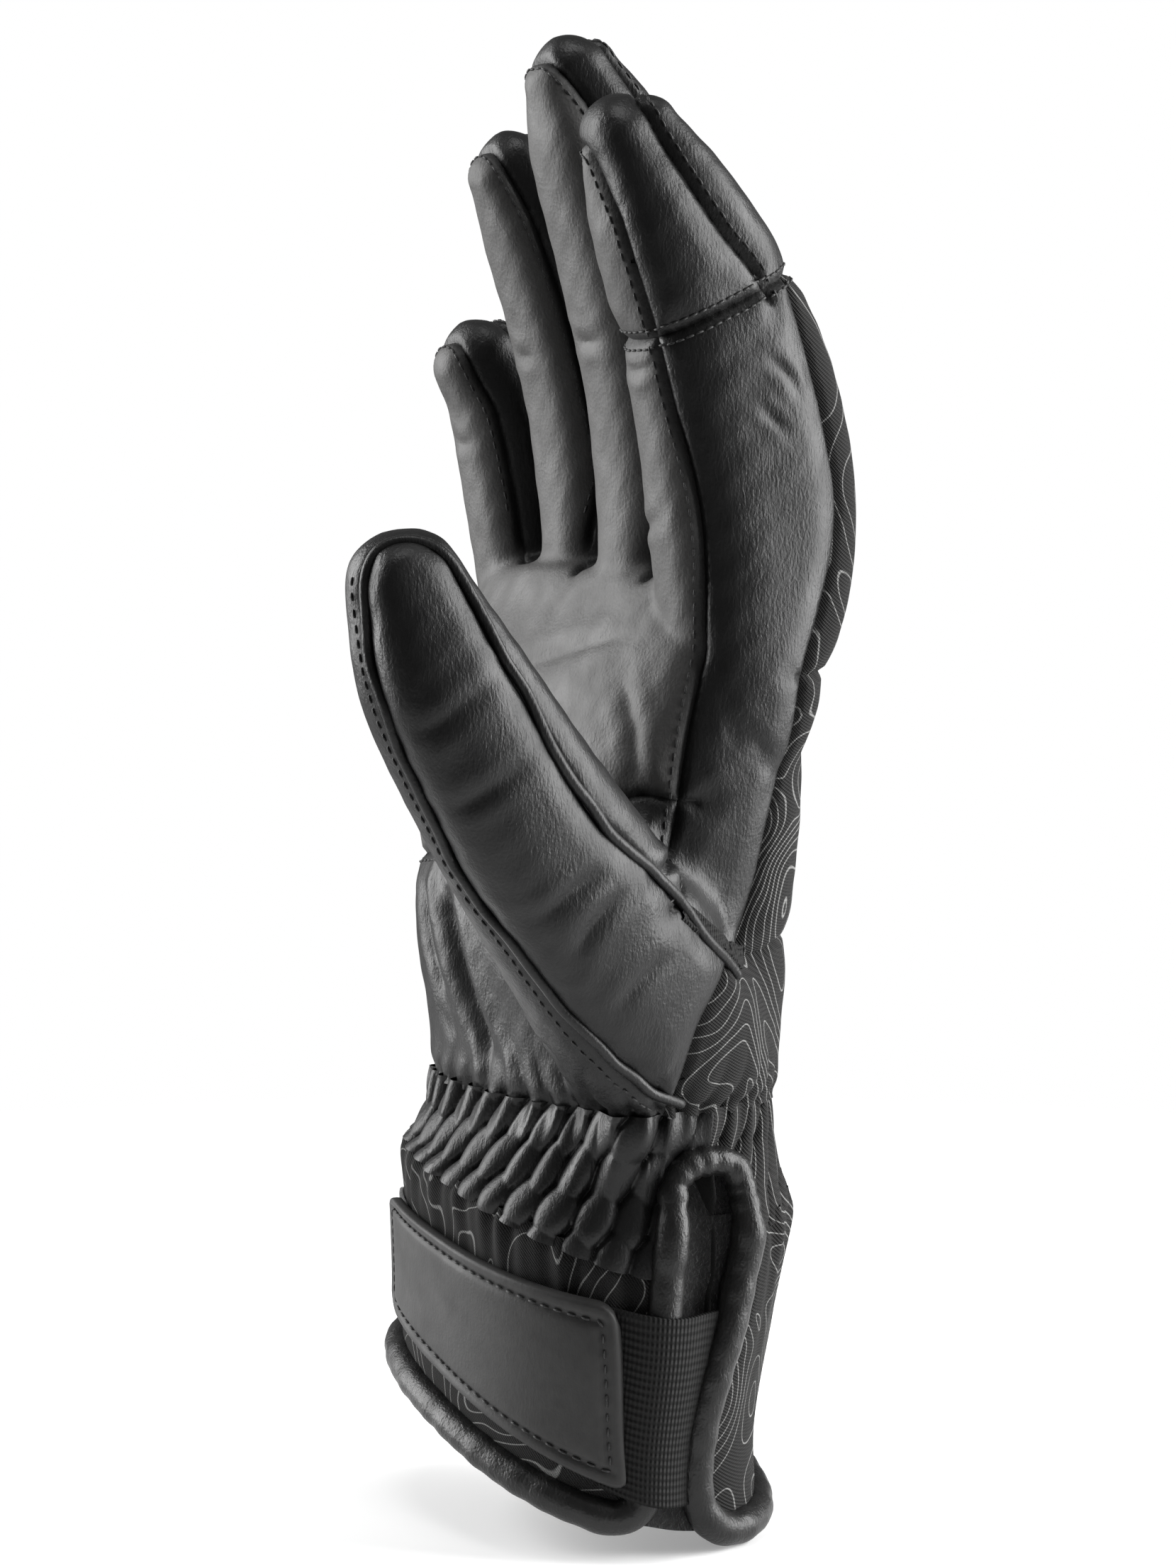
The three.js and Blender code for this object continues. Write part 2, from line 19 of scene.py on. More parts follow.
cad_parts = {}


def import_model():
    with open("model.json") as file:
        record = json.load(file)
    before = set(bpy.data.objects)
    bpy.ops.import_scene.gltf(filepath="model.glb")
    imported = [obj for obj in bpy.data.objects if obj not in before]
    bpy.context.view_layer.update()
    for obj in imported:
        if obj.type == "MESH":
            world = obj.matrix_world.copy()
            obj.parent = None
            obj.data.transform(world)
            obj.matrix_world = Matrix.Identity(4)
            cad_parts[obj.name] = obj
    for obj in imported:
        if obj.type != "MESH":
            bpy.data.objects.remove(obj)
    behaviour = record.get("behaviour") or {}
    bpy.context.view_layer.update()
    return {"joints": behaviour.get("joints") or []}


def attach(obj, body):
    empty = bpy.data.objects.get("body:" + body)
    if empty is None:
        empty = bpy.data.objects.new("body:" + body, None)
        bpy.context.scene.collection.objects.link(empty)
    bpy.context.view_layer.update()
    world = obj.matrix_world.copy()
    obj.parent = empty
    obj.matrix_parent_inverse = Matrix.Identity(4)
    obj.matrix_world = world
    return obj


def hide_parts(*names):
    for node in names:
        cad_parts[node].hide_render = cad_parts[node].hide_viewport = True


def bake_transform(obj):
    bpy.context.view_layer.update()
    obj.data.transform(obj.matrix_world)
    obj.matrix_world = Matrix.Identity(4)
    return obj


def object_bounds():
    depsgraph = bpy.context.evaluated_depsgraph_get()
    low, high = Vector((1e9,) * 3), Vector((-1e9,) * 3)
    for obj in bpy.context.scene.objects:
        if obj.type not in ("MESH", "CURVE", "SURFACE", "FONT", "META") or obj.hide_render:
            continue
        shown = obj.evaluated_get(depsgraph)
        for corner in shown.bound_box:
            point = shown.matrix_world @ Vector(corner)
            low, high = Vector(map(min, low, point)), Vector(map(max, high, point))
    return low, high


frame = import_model()
MM = 0.001
JOINTS = {j["name"]: j for j in frame["joints"]}
FINGER_NAMES = ("index", "middle", "ring", "little")


# ---- Form ----

VOXEL = 0.8
# Hand: z, centre x, centre y, half width, half thickness, drop towards the thumb.
HAND = [
    (46, 0, 2, 37, 27, 0.2),
    (66, 0, 2.5, 37, 27, 0.1),
    (84, -1, 3.5, 39.5, 26.3, 0),
    (108, -1, 2.8, 43.5, 27.5, 0),
    (134, 0, 4.5, 47, 25.5, 0),
    (156, 0, 7, 49, 19.8, 0),
    (170, 0, 11.3, 49.5, 16.7, 0),
]
# Fingers and thumb: x, y, z, half width, half thickness along the spine. A rounded end follows.
FINGERS = {
    "index": [
        (35, 7, 132, 8, 10), (37.8, 10, 150, 12, 13.5), (38.4, 12.9, 179, 12.4, 19.5),
        (38.4, 10.2, 202, 12.4, 19.8), (38.4, 3.9, 221, 12.4, 17.6), (38.3, -6.5, 241, 11.7, 13.5),
        (37.7, -13.5, 254, 9, 9),
    ],
    "middle": [
        (12, 8, 140, 9, 11), (12, 10.5, 162, 11, 17), (12, 12.5, 179, 11.5, 15), (12, 10, 206, 11.5, 14.5),
        (12, 3.5, 231, 11.5, 13.8), (12, -5, 255, 10.7, 12.5), (12, -10.5, 267, 8, 9),
    ],
    "ring": [
        (-13, 7, 138, 9, 10), (-13, 10.5, 160, 11, 17), (-13, 12.5, 177, 11.2, 13.5),
        (-13, 10, 202, 11.2, 13), (-13.3, 4, 223, 11.1, 12), (-13.7, -3.2, 241, 10.2, 10.8),
        (-14, -8.5, 251, 8, 9),
    ],
    "little": [
        (-36, 7, 132, 8, 9), (-37.3, 11.5, 168, 10.8, 13), (-37.7, 8.5, 187, 10.7, 12.8),
        (-38, 3, 206, 10.3, 11), (-38.5, -2.5, 215.5, 8.5, 9.5),
    ],
}
THUMB = [
    (20, 14, 58, 5, 8), (30, 4, 78, 11, 17), (38, -10, 97, 13.5, 19.5), (45, -28.5, 118, 14, 18),
    (50, -46, 139, 14, 16), (52, -59.5, 159, 13, 14), (52, -66.5, 176, 9.6, 10),
]
FINGER_ROUNDNESS = 2.7
HAND_ROUNDNESS = 2.9
TIP_REACH = 0.95  # length of a finger's rounded end, as a share of its last half size
KNUCKLE_DOME = 7  # height of the rounded top of the hand
ROOTS_LEVEL, ROOTS_SPREAD = 176, 8  # where the fingers' roots are smoothed on the palm side


def catmull(rows, count):
    """Catmull-Rom curve through rows of any width, with straight run-outs."""
    p = np.array(rows, float)
    p = np.vstack([2 * p[0] - p[1], p, 2 * p[-1] - p[-2]])
    t = np.linspace(0, len(p) - 3, count)
    i = np.minimum(t.astype(int), len(p) - 4)
    f = (t - i)[:, None]
    a, b, c, d = p[i], p[i + 1], p[i + 2], p[i + 3]
    return 0.5 * (2 * b + (c - a) * f + (2 * a - 5 * b + 4 * c - d) * f**2
                  + (3 * b - a - 3 * c + d) * f**3)


def rounded(count, power):
    """Points of a unit superellipse, from the thumb side round by the back."""
    t = np.arange(count) * 2 * math.pi / count
    c, s = np.cos(t), np.sin(t)
    return (np.sign(c) * np.abs(c) ** (2 / power), np.sign(s) * np.abs(s) ** (2 / power))


def unit(v):
    """The vectors at length 1."""
    return v / np.linalg.norm(v, axis=-1, keepdims=True)


def averaged(rows, window):
    """Moving average along rows of numbers or points, with the ends held."""
    edge = window // 2
    pad = np.concatenate([np.repeat(rows[:1], edge, 0), rows, np.repeat(rows[-1:], edge, 0)])
    kernel = np.ones(window) / window
    if rows.ndim == 1:
        return np.convolve(pad, kernel, "valid")
    return np.stack([np.convolve(column, kernel, "valid") for column in pad.T], 1)


def run_along(rows):
    """Length along a line of points, at each point."""
    return np.concatenate([[0], np.cumsum(np.linalg.norm(np.diff(rows, axis=0), axis=1))])


def rows_at(places, run, rows):
    """Rows interpolated at places along their run."""
    return np.stack([np.interp(places, run, column) for column in rows.T], 1)


def kd_tree(points):
    """A search tree of points, by their numbers."""
    tree = KDTree(len(points))
    for i, p in enumerate(points):
        tree.insert(Vector(p), i)
    tree.balance()
    return tree


def spine_frames(rows, count=60):
    """Centres, directions (along, across, back) and half sizes along a spine."""
    q = catmull(rows, count)
    along = unit(np.gradient(q[:, :3], axis=0))
    x = np.array([1.0, 0, 0])
    across = unit(x - along * (along @ x)[:, None])
    back = np.cross(along, across)
    return q[:, :3], along, across, back, q[:, 3:5]


def spine_rings(rows, sides=48):
    """Rings round a finger's spine, closed by a rounded end."""
    centre, along, across, back, half = spine_frames(rows)
    u, v = rounded(sides, FINGER_ROUNDNESS)

    def ring(c, i, scale):
        return (c + across[i] * (u * half[i, 0] * scale)[:, None]
                + back[i] * (v * half[i, 1] * scale)[:, None])

    rings = [ring(centre[i], i, 1) for i in range(len(centre))]
    reach = TIP_REACH * half[-1].min()
    for k in np.sin(np.linspace(0, math.pi / 2, 9))[1:-1]:
        rings.append(ring(centre[-1] + along[-1] * reach * k, -1, math.sqrt(1 - k * k)))
    rings.append(np.repeat((centre[-1] + along[-1] * reach)[None], sides, 0))
    return rings


def level_rings(rows, sides=64, count=50, dome=KNUCKLE_DOME):
    """Rings round the hand from the wrist up, closed by a low dome."""
    u, v = rounded(sides, HAND_ROUNDNESS)
    q = catmull(rows, count)
    rings = []
    for z, cx, cy, a, b, drop in q:
        x = u * a
        rings.append(np.stack([cx + x, cy + v * b, z - drop * x], 1))
    z, cx, cy, a, b, _ = q[-1]
    for k in np.sin(np.linspace(0, math.pi / 2, 7))[1:]:
        s = math.sqrt(max(1 - k * k, 0))
        flat = 1 - dome * (1 - s) / b
        side = 1 - dome * (1 - s) / a
        rings.append(np.stack([cx + u * a * side, cy + v * b * flat, np.full(sides, z + dome * k)], 1))
    return rings


def loft_mesh(name, rings):
    """Closed mesh through rings of equally many points."""
    size = (len(rings), len(rings[0]))
    mesh = bpy.data.meshes.new(name)
    mesh.from_pydata(np.concatenate(rings).tolist(), [], grid_faces(*size, closed=True) + end_caps(*size))
    return mesh


def remeshed(meshes, voxel):
    """One closed surface round several closed meshes: its vertices and its four-sided faces."""
    bm = bmesh.new()
    for mesh in meshes:
        bm.from_mesh(mesh)
    joined = bpy.data.meshes.new("joined")
    bm.to_mesh(joined)
    bm.free()
    obj = bpy.data.objects.new("joined", joined)
    bpy.context.scene.collection.objects.link(obj)
    modifier = obj.modifiers.new("remesh", "REMESH")
    modifier.mode = "VOXEL"
    modifier.voxel_size = voxel
    done = obj.evaluated_get(bpy.context.evaluated_depsgraph_get()).to_mesh()
    verts = np.empty(len(done.vertices) * 3)
    done.vertices.foreach_get("co", verts)
    quads = np.empty(len(done.loops), int)
    done.loops.foreach_get("vertex_index", quads)
    bpy.data.objects.remove(obj)
    return verts.reshape(-1, 3), quads.reshape(-1, 4)


def smoothed(verts, quads, rounds):
    """Verts moved towards their neighbours' mean, in shrink-and-swell pairs that keep the volume."""
    edges = np.concatenate([quads[:, [k, (k + 1) % 4]] for k in range(4)])
    count = np.bincount(edges[:, 0], minlength=len(verts))[:, None]
    for _ in range(rounds):
        for step in (0.6, -0.62):
            sums = [np.bincount(edges[:, 0], column[edges[:, 1]], len(verts)) for column in verts.T]
            total = np.stack(sums, 1)
            verts = verts + step * (total / count - verts)
    return verts


def quads_mesh(name, verts, quads):
    """A mesh from arrays of vertices and quads."""
    mesh = bpy.data.meshes.new(name)
    mesh.from_pydata(verts.tolist(), [], quads.tolist())
    return mesh


def base_skin():
    """The hand, fingers and thumb as one smooth surface."""
    palm = remeshed([loft_mesh("hand", level_rings(HAND)), loft_mesh("thumb", spine_rings(THUMB))], 2.0)
    palm = (smoothed(*palm, 30), palm[1])
    parts = [quads_mesh("palm", *palm)]
    parts += [loft_mesh(name, spine_rings(rows)) for name, rows in FINGERS.items()]
    verts, quads = remeshed(parts, VOXEL)
    verts = smoothed(verts, quads, 12)
    _, y, z = verts.T
    finger_roots = np.exp(-(((z - ROOTS_LEVEL) / ROOTS_SPREAD) ** 2)) * np.clip((6 - y) / 8, 0, 1)
    plain = verts.copy()
    for _ in range(3):
        plain = smoothed(plain, quads, 25)
    return verts + finger_roots[:, None] * (plain - verts), quads


# ---- Joints and zones ----


def place_of(joint):
    """A joint's place in millimetres."""
    return np.array(JOINTS[joint]["pos_m"]) / MM


KNUCKLE_BEND = (2, 16)  # a finger bends between these distances past its knuckle
TIP_BEND = (-8, 8)
THUMB_ROOT_BEND = (13, 29)
THUMB_TIP_BEND = (-9, 9)
THUMB_ROOT_WAY = np.array([0, -0.9, 0.43])
THUMB_TIP_WAY = np.array([0, -0.64, 0.77])
WRIST_BEND = (60, 82)  # heights
WRIST_TOP = 84
FINGER_EDGES = (-25, -0.6, 24.6)  # between little, ring, middle and index


def finger_at(x):
    """Index of the finger, from the little one, at a place across the hand."""
    return np.searchsorted(FINGER_EDGES, x)


def bends():
    """zone: (body it bends from, body it bends to, start, end), for every zone that bends."""
    table = {}
    for name in FINGER_NAMES:
        knuckle, tip = place_of(name + "_knuckle"), place_of(name + "_bend")
        way = unit(tip - knuckle)
        reach = min(KNUCKLE_BEND[1], np.linalg.norm(tip - knuckle) + TIP_BEND[0] - 2)
        start = knuckle + way * KNUCKLE_BEND[0]
        table[name + "_base"] = ("hand", name + "_base", start, knuckle + way * reach)
        spine = np.array(FINGERS[name])[-1, :3]
        way = unit(unit(spine - tip) + way)
        table[name + "_tip"] = (name + "_base", name + "_tip", *(tip + way * d for d in TIP_BEND))
    root, tip = place_of("thumb_root"), place_of("thumb_bend")
    table["thumb_base"] = ("hand", "thumb_base", *(root + THUMB_ROOT_WAY * d for d in THUMB_ROOT_BEND))
    table["thumb_tip"] = ("thumb_base", "thumb_tip", *(tip + THUMB_TIP_WAY * d for d in THUMB_TIP_BEND))
    table["wrist"] = ("cuff", "hand", *(np.array([0, 2.0, z]) for z in WRIST_BEND))
    return table


BENDS = bends()
ZONES = ["hand", "wrist", "thumb_base", "thumb_tip"]
ZONES += [name + part for name in FINGER_NAMES for part in ("_base", "_tip")]


def zones_of(points):
    """Index into ZONES for each point of the hand's skin."""
    zone = np.zeros(len(points), int)
    x, y, z = points.T
    zone[z < WRIST_TOP] = ZONES.index("wrist")
    past_root = (points - place_of("thumb_root")) @ THUMB_ROOT_WAY
    thumb = (past_root > THUMB_ROOT_BEND[0] - 0.5) & (y < -22) & (z < 200) & (z > WRIST_TOP)
    past_tip = (points - place_of("thumb_bend")) @ THUMB_TIP_WAY
    zone[thumb] = ZONES.index("thumb_base")
    zone[thumb & (past_tip > THUMB_TIP_BEND[0])] = ZONES.index("thumb_tip")
    finger = finger_at(x)
    for k, name in enumerate(reversed(FINGER_NAMES)):
        _, _, start, end = BENDS[name + "_tip"]
        mine = (finger == k) & ~thumb & (z > place_of(name + "_knuckle")[2] + 1)
        zone[mine] = ZONES.index(name + "_base")
        zone[mine & ((points - start) @ (end - start) > 0)] = ZONES.index(name + "_tip")
    return zone


def place(piece, zone):
    """The piece is parented to its zone's body and moves with it; in a zone that bends, its transform is only
    baked.
    """
    if zone in BENDS:
        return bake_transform(piece)
    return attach(piece, zone)


# ---- Meshes ----


def new_piece(name, verts, faces, material, normals=None, rest=None, seam=None):
    """A smooth-shaded mesh object from millimetres. rest keeps the unworn coordinates for the materials,
    seam is painted shade from 0 to 1, darkening the leather beside a seam."""
    mesh = bpy.data.meshes.new(name)
    verts = np.asarray(verts, float)
    mesh.from_pydata((verts * MM).tolist(), [], faces)
    mesh.polygons.foreach_set("use_smooth", [True] * len(mesh.polygons))
    attribute = mesh.attributes.new("rest", "FLOAT_VECTOR", "POINT")
    attribute.data.foreach_set("vector", (verts if rest is None else rest).astype(np.float32).ravel())
    if seam is not None:
        attribute = mesh.attributes.new("seam", "FLOAT", "POINT")
        attribute.data.foreach_set("value", seam.astype(np.float32))
    mesh.materials.append(material)
    if normals is not None:
        mesh.normals_split_custom_set(normals.tolist())
    obj = bpy.data.objects.new(name, mesh)
    bpy.context.scene.collection.objects.link(obj)
    return obj


def subset(verts, faces, chosen):
    """Vertices, faces and old vertex numbers of the chosen faces alone."""
    faces = [faces[i] for i in chosen]
    used = np.unique(np.concatenate([np.asarray(f) for f in faces]))
    new = {old: i for i, old in enumerate(used.tolist())}
    return verts[used], [tuple(new[v] for v in f) for f in faces], used


def smooth_normals(verts, faces, group=None):
    """A normal for every face corner, smooth within each group of faces, and each face's first corner and
    number of corners."""
    sizes = np.array([len(f) for f in faces])
    flat = np.concatenate([np.asarray(f) for f in faces])
    start = np.cumsum(sizes) - sizes
    diagonal_1 = verts[flat[start + sizes // 2]] - verts[flat[start]]
    diagonal_2 = verts[flat[start + sizes - 1]] - verts[flat[start + 1]]
    area = np.cross(diagonal_1, diagonal_2)
    corner_face = np.repeat(np.arange(len(faces)), sizes)
    key = flat if group is None else np.asarray(group)[corner_face] * len(verts) + flat
    _, inverse = np.unique(key, return_inverse=True)
    total = np.stack([np.bincount(inverse, area[corner_face, k]) for k in range(3)], 1)
    length = np.maximum(np.linalg.norm(total, axis=1, keepdims=True), 1e-12)
    return (total / length)[inverse], start, sizes


def corners_of(corners, chosen):
    """The same table as smooth_normals makes, for the chosen faces alone."""
    normals, start, sizes = corners
    kept = np.concatenate([normals[start[i]:start[i] + sizes[i]] for i in chosen])
    return kept, np.cumsum(sizes[chosen]) - sizes[chosen], sizes[chosen]


def grid_faces(rows, columns, closed=False):
    """Quads of a grid of points, column by column within rows. closed joins the last column to the first."""
    faces = []
    for i in range(rows - 1):
        for j in range(columns if closed else columns - 1):
            k = (j + 1) % columns
            faces.append((i * columns + j, i * columns + k, (i + 1) * columns + k, (i + 1) * columns + j))
    return faces


def end_caps(rows, columns):
    """The faces that close both ends of a closed grid of points."""
    return [tuple(range(columns))[::-1], tuple(range((rows - 1) * columns, rows * columns))]


def tube_mesh(path, outward, radius, sides, closed=False):
    """Points and faces of a tube along a path. radius may vary along it."""
    step = np.roll(path, -1, 0) - np.roll(path, 1, 0) if closed else np.gradient(path, axis=0)
    along = unit(step)
    side = unit(np.cross(along, outward))
    up = np.cross(side, along)
    radius = np.broadcast_to(radius, len(path))
    t = np.arange(sides) * 2 * math.pi / sides
    rings = (path[:, None] + radius[:, None, None] * (side[:, None] * np.cos(t)[None, :, None]
                                                      + up[:, None] * np.sin(t)[None, :, None]))
    if closed:
        rings = np.concatenate([rings, rings[:1]])
    faces = grid_faces(len(rings), sides, closed=True)
    verts = rings.reshape(-1, 3)
    if closed:
        last = (len(rings) - 1) * sides
        faces = [tuple(v - last if v >= last else v for v in f) for f in faces]
        return verts[:last], faces
    return verts, faces + end_caps(len(rings), sides)


# ---- Seams ----

SEAM_STEP = 0.5
DRAPE_STEP, DRAPE_WINDOW = 0.2, 9  # a seam's points as it is laid on the skin, and how many are averaged
SEAM_REACH = 2.4  # vertices this near to a seam are cut or moved
SEAM_DEPTH = 1.6  # vertices further than this above or below a seam are another layer
SNAP = 0.2  # a vertex nearer than this to the seam moves onto it
SAME_PLACE = 10  # steps along a seam within which two of its vertices may share an edge
EDGE_ANGLE = 38  # degrees from a finger's side to its palm and back seams
DEEP_EDGES = {("middle", 1): 18, ("index", -1): 18, ("ring", 1): 30, ("middle", -1): 30}  # on the palm


def finger_edge(name, facing, lateral, low):
    """Places up one edge of a finger: facing -1 is the palm, 1 the back; lateral 1 is the thumb side."""
    centre, _, across, back, half = spine_frames(FINGERS[name], 24)
    angle = DEEP_EDGES.get((name, lateral), EDGE_ANGLE) if facing < 0 else EDGE_ANGLE
    c, s = math.cos(math.radians(angle)), math.sin(math.radians(angle))
    return [centre[i] + across[i] * (lateral * c * half[i, 0]) + back[i] * (facing * s * half[i, 1])
            for i in range(len(centre)) if centre[i, 2] > low][::3]


def finger_tip(name, facing):
    """Three places over a finger's end, on the palm or the back side of it."""
    centre, along, across, back, half = spine_frames(FINGERS[name], 24)
    reach = TIP_REACH * half[-1].min()
    out = []
    top = ((-0.6, 0.68, 0.5), (0, 0.92, 0.42), (0.6, 0.68, 0.5))
    if facing > 0 or name == "middle":
        top = ((-0.55, 0.55, 0.6), (0, 0.72, 0.62), (0.55, 0.55, 0.6))
    for lateral, forward, deep in top:
        out.append(centre[-1] + across[-1] * (lateral * half[-1, 0]) + along[-1] * (forward * reach)
                   + back[-1] * (facing * deep * half[-1, 1]))
    return out


def outline(facing):
    """Edge of the palm panel (-1) or the back one (1), from the little finger's side of the wrist to the
    index fingertip."""
    wrist = {-1: [(-37, -8, 74), (-41, -9, 92), (-45, -8, 115), (-48, -5, 140), (-48.5, 0, 160)],
             1: [(-37, 11, 74), (-41.5, 12, 92), (-45.5, 13, 115), (-48, 14, 140), (-48.5, 18, 160)]}[facing]
    crotch = {-1: {"little": (-24.8, 0, 178), "ring": (-0.6, -3, 175), "middle": (24.6, -3, 175)},
              1: {"little": (-24.8, 22, 175), "ring": (-0.6, 27, 174), "middle": (24.6, 27, 174)}}[facing]
    path = list(wrist)
    for name in reversed(FINGER_NAMES):
        path += finger_edge(name, facing, -1, 172 if name == "little" else 186)
        if name == "index":
            break
        path += finger_tip(name, facing)
        path += finger_edge(name, facing, 1, 186)[::-1]
        path.append(crotch[name])
    return path


# Seams, as points on the skin. Many of those in INDEX_RIDGE, INDEX_SIDE, GUSSET_BACK, THUMB_EDGE,
# THUMB_CORNER and GUSSET_FOOT were not set by hand: a helper script printed them, as the places on the
# skin that lie under places read off the photo by eye.
INDEX_RIDGE = [
    (44.8, -14.3, 259.5), (48.4, -9, 248.9), (50.3, -1.2, 237.8), (50.5, 6, 230.5), (50.4, 9.5, 225),
]
# The palm and back seams' ways over the index fingertip, from its little-finger side.
INDEX_PALM_TOP = [(28.6, -17, 247), (30, -22, 252.5), (36, -24, 250), (41, -21, 242)]
INDEX_BACK_TOP = [(32, -8, 258), (37, -12, 262), (42, -14, 261.5)]
INDEX_SIDE = [
    (43, -18.4, 236.2), (43.3, -10.7, 219.5), (42.8, -3.5, 200), (44.7, -1.3, 180.2), (45.7, -2.9, 161.8),
    (45.8, -6, 144.8), (44.6, -7.4, 129.2), (49, -9, 121), (54, -11.5, 117.2), (56.5, -13.5, 116),
]
GUSSET_BACK = [
    (48.3, 14.6, 231), (49.6, 19, 215.3), (49.7, 22.7, 202.4), (49.4, 25.2, 189.5), (49.6, 24.4, 179.1),
    (49.8, 21.5, 168.8), (49.8, 17.5, 156.4), (47.4, 16.2, 142.9), (45.7, 13.5, 131.1), (43.8, 11.2, 118),
    (42.7, 8.2, 106.3), (42.2, 7.4, 103.8),
]
THUMB_EDGE = [
    (46.2, 7, 101.8), (48.3, 2.6, 105.4), (53.6, -8.7, 114.7), (58.5, -22.3, 126.7), (61.8, -33, 133.9),
    (63.3, -39.7, 142.5), (64.2, -47.4, 154.2), (63.6, -54.2, 165.5), (60.8, -59.6, 177.9),
    (59.6, -63.6, 183.3), (56.4, -68, 186), (53.7, -74.2, 183.3), (54.4, -76.8, 178.5),
    (53.1, -76.6, 171.2), (53.6, -75.5, 161.5), (53.7, -71.3, 149.2), (53.1, -66.6, 140.9),
    (51.5, -60.8, 132), (49.1, -53.8, 122.1), (50.4, -45, 110.7), (49.4, -33.4, 97.2), (48.6, -21.5, 87),
    (45.1, -7.6, 78.2), (43.8, -4.5, 77),
]
THUMB_CORNER = [
    (46.8, 6.3, 110.5), (48.3, 2.6, 105.4), (50.2, -3.7, 94.9), (48.1, -6.1, 85.7), (45.1, -7.6, 78.2),
    (43, -7.6, 73),
]
GUSSET_FOOT = [
    (55, -10.5, 116.2), (53.2, -7.4, 113.8), (50.1, -1.4, 110.2), (43.9, 6.7, 105.9), (42, 9.4, 104.6),
]
BACK_SEAM = [
    (44, 6, 105.4), (42.7, 8.8, 105), (41, 13.5, 104.6), (38, 20, 106.1), (25, 28, 108), (0, 30, 109),
    (-25, 28, 108), (-42, 16, 107), (-44.3, 12.5, 106), (-45, 8.5, 106),
]
HEEL_SEAM = [
    (46.5, -3.5, 134), (45, -8, 134.5), (42, -15, 136), (35, -19, 135), (25, -21.5, 130), (0, -22.9, 123),
    (-25, -21.5, 120), (-40, -16.5, 118), (-45, -9, 117), (-46.5, -4.5, 116),
]
KNUCKLE_SEAM = [
    (50, 16.2, 156.4), (49.6, 18.5, 156.6), (44, 25, 157), (25, 28, 156), (0, 28.5, 155), (-25, 28, 154),
    (-45, 21, 152), (-48.6, 15.5, 152), (-49, 11, 152),
]


BAND_CENTRE = Vector((38, 4, 225))
BAND_LEAN = 0.45  # rise of the band towards the back of the finger


def index_band(tree):
    """Seam round the index finger below its leather cap, in a plane that leans with the finger."""
    way = []
    for t in np.linspace(0, 2 * math.pi + 0.1, 90):
        u, v = math.cos(t), math.sin(t)
        hit = tree.ray_cast(BAND_CENTRE, Vector((u, v, BAND_LEAN * v)).normalized())[0]
        if hit is not None and hit.x > FINGER_EDGES[-1] + 0.5:
            way.append(tuple(hit))
    return way


def draped(tree, points, rounds=2):
    """A curve through the points, laid on the surface: places, directions and surface normals."""
    points = np.array(points, float)
    length = np.linalg.norm(np.diff(points, axis=0), axis=1)
    rows = catmull(points, max(8, int(length.sum() / DRAPE_STEP)))
    for _ in range(rounds):
        rows = averaged(np.array([tuple(tree.find_nearest(Vector(p))[0]) for p in rows]), DRAPE_WINDOW)
    run = run_along(rows)
    rows = rows_at(np.linspace(0, run[-1], max(4, int(run[-1] / SEAM_STEP))), run, rows)
    normals = np.array([tuple(tree.find_nearest(Vector(p))[1]) for p in rows])
    normals = unit(averaged(normals, DRAPE_WINDOW))
    along = unit(np.gradient(rows, axis=0))
    return rows, along, normals


def cut_along(bm, seam):
    """Splits the faces of bm along a seam and marks the new edges."""
    rows, along, normals = seam
    side = unit(np.cross(normals, along))
    bm.verts.ensure_lookup_table()
    tree = KDTree(len(bm.verts))
    for v in bm.verts:
        tree.insert(v.co, v.index)
    tree.balance()
    near = {}
    for i, p in enumerate(rows):
        for _, index, distance in tree.find_range(Vector(p), SEAM_REACH):
            if index not in near or distance < near[index][0]:
                near[index] = (distance, i)
    value, at = {}, {}
    for index, (_, i) in near.items():
        vert = bm.verts[index]
        off = np.array(vert.co) - rows[i]
        beyond = off @ along[i]
        if (i == 0 and beyond < -SNAP) or (i == len(rows) - 1 and beyond > SNAP):
            continue
        if abs(off @ normals[i]) > SEAM_DEPTH:
            continue
        distance = off @ side[i]
        if abs(distance) < SNAP:
            vert.co = vert.co - Vector(side[i] * distance)
            distance = 0.0
        value[vert] = distance
        at[vert] = i
    on = {v for v, d in value.items() if d == 0.0}
    crossing = set()
    for v, d in value.items():
        for edge in v.link_edges:
            other = edge.other_vert(v)
            if d < 0 and value.get(other, -1) > 0 and abs(at[v] - at[other]) < SAME_PLACE:
                crossing.add((edge, v, d / (d - value[other]), at[v]))
    for edge, v, fraction, i in sorted(crossing, key=lambda c: (c[3], c[2])):
        _, new = bmesh.utils.edge_split(edge, v, fraction)
        on.add(new)
        at[new] = i
    bmesh.ops.connect_verts(bm, verts=sorted(on, key=lambda v: at[v]))
    for v in on:
        for edge in v.link_edges:
            other = edge.other_vert(v)
            if other in on and abs(at[v] - at[other]) < SAME_PLACE:
                edge.seam = True


# ---- Skin: seams cut, panels found, surface shaped ----

GROOVE_DEPTH, GROOVE_WIDTH = 0.9, 1.3
PILLOW_HEIGHT, PILLOW_WIDTH = 1.3, 7.0
SHADE_WIDTH = 2.6  # width of the painted shade that darkens the leather beside a seam
SKIN_BOTTOM = 75.0
PINCH_Z = 76.5  # first gathering line of the wrist
GATHERS = 36  # folds round the wrist
SMALLEST_PANEL = 150  # faces; anything smaller joins the panel next to it

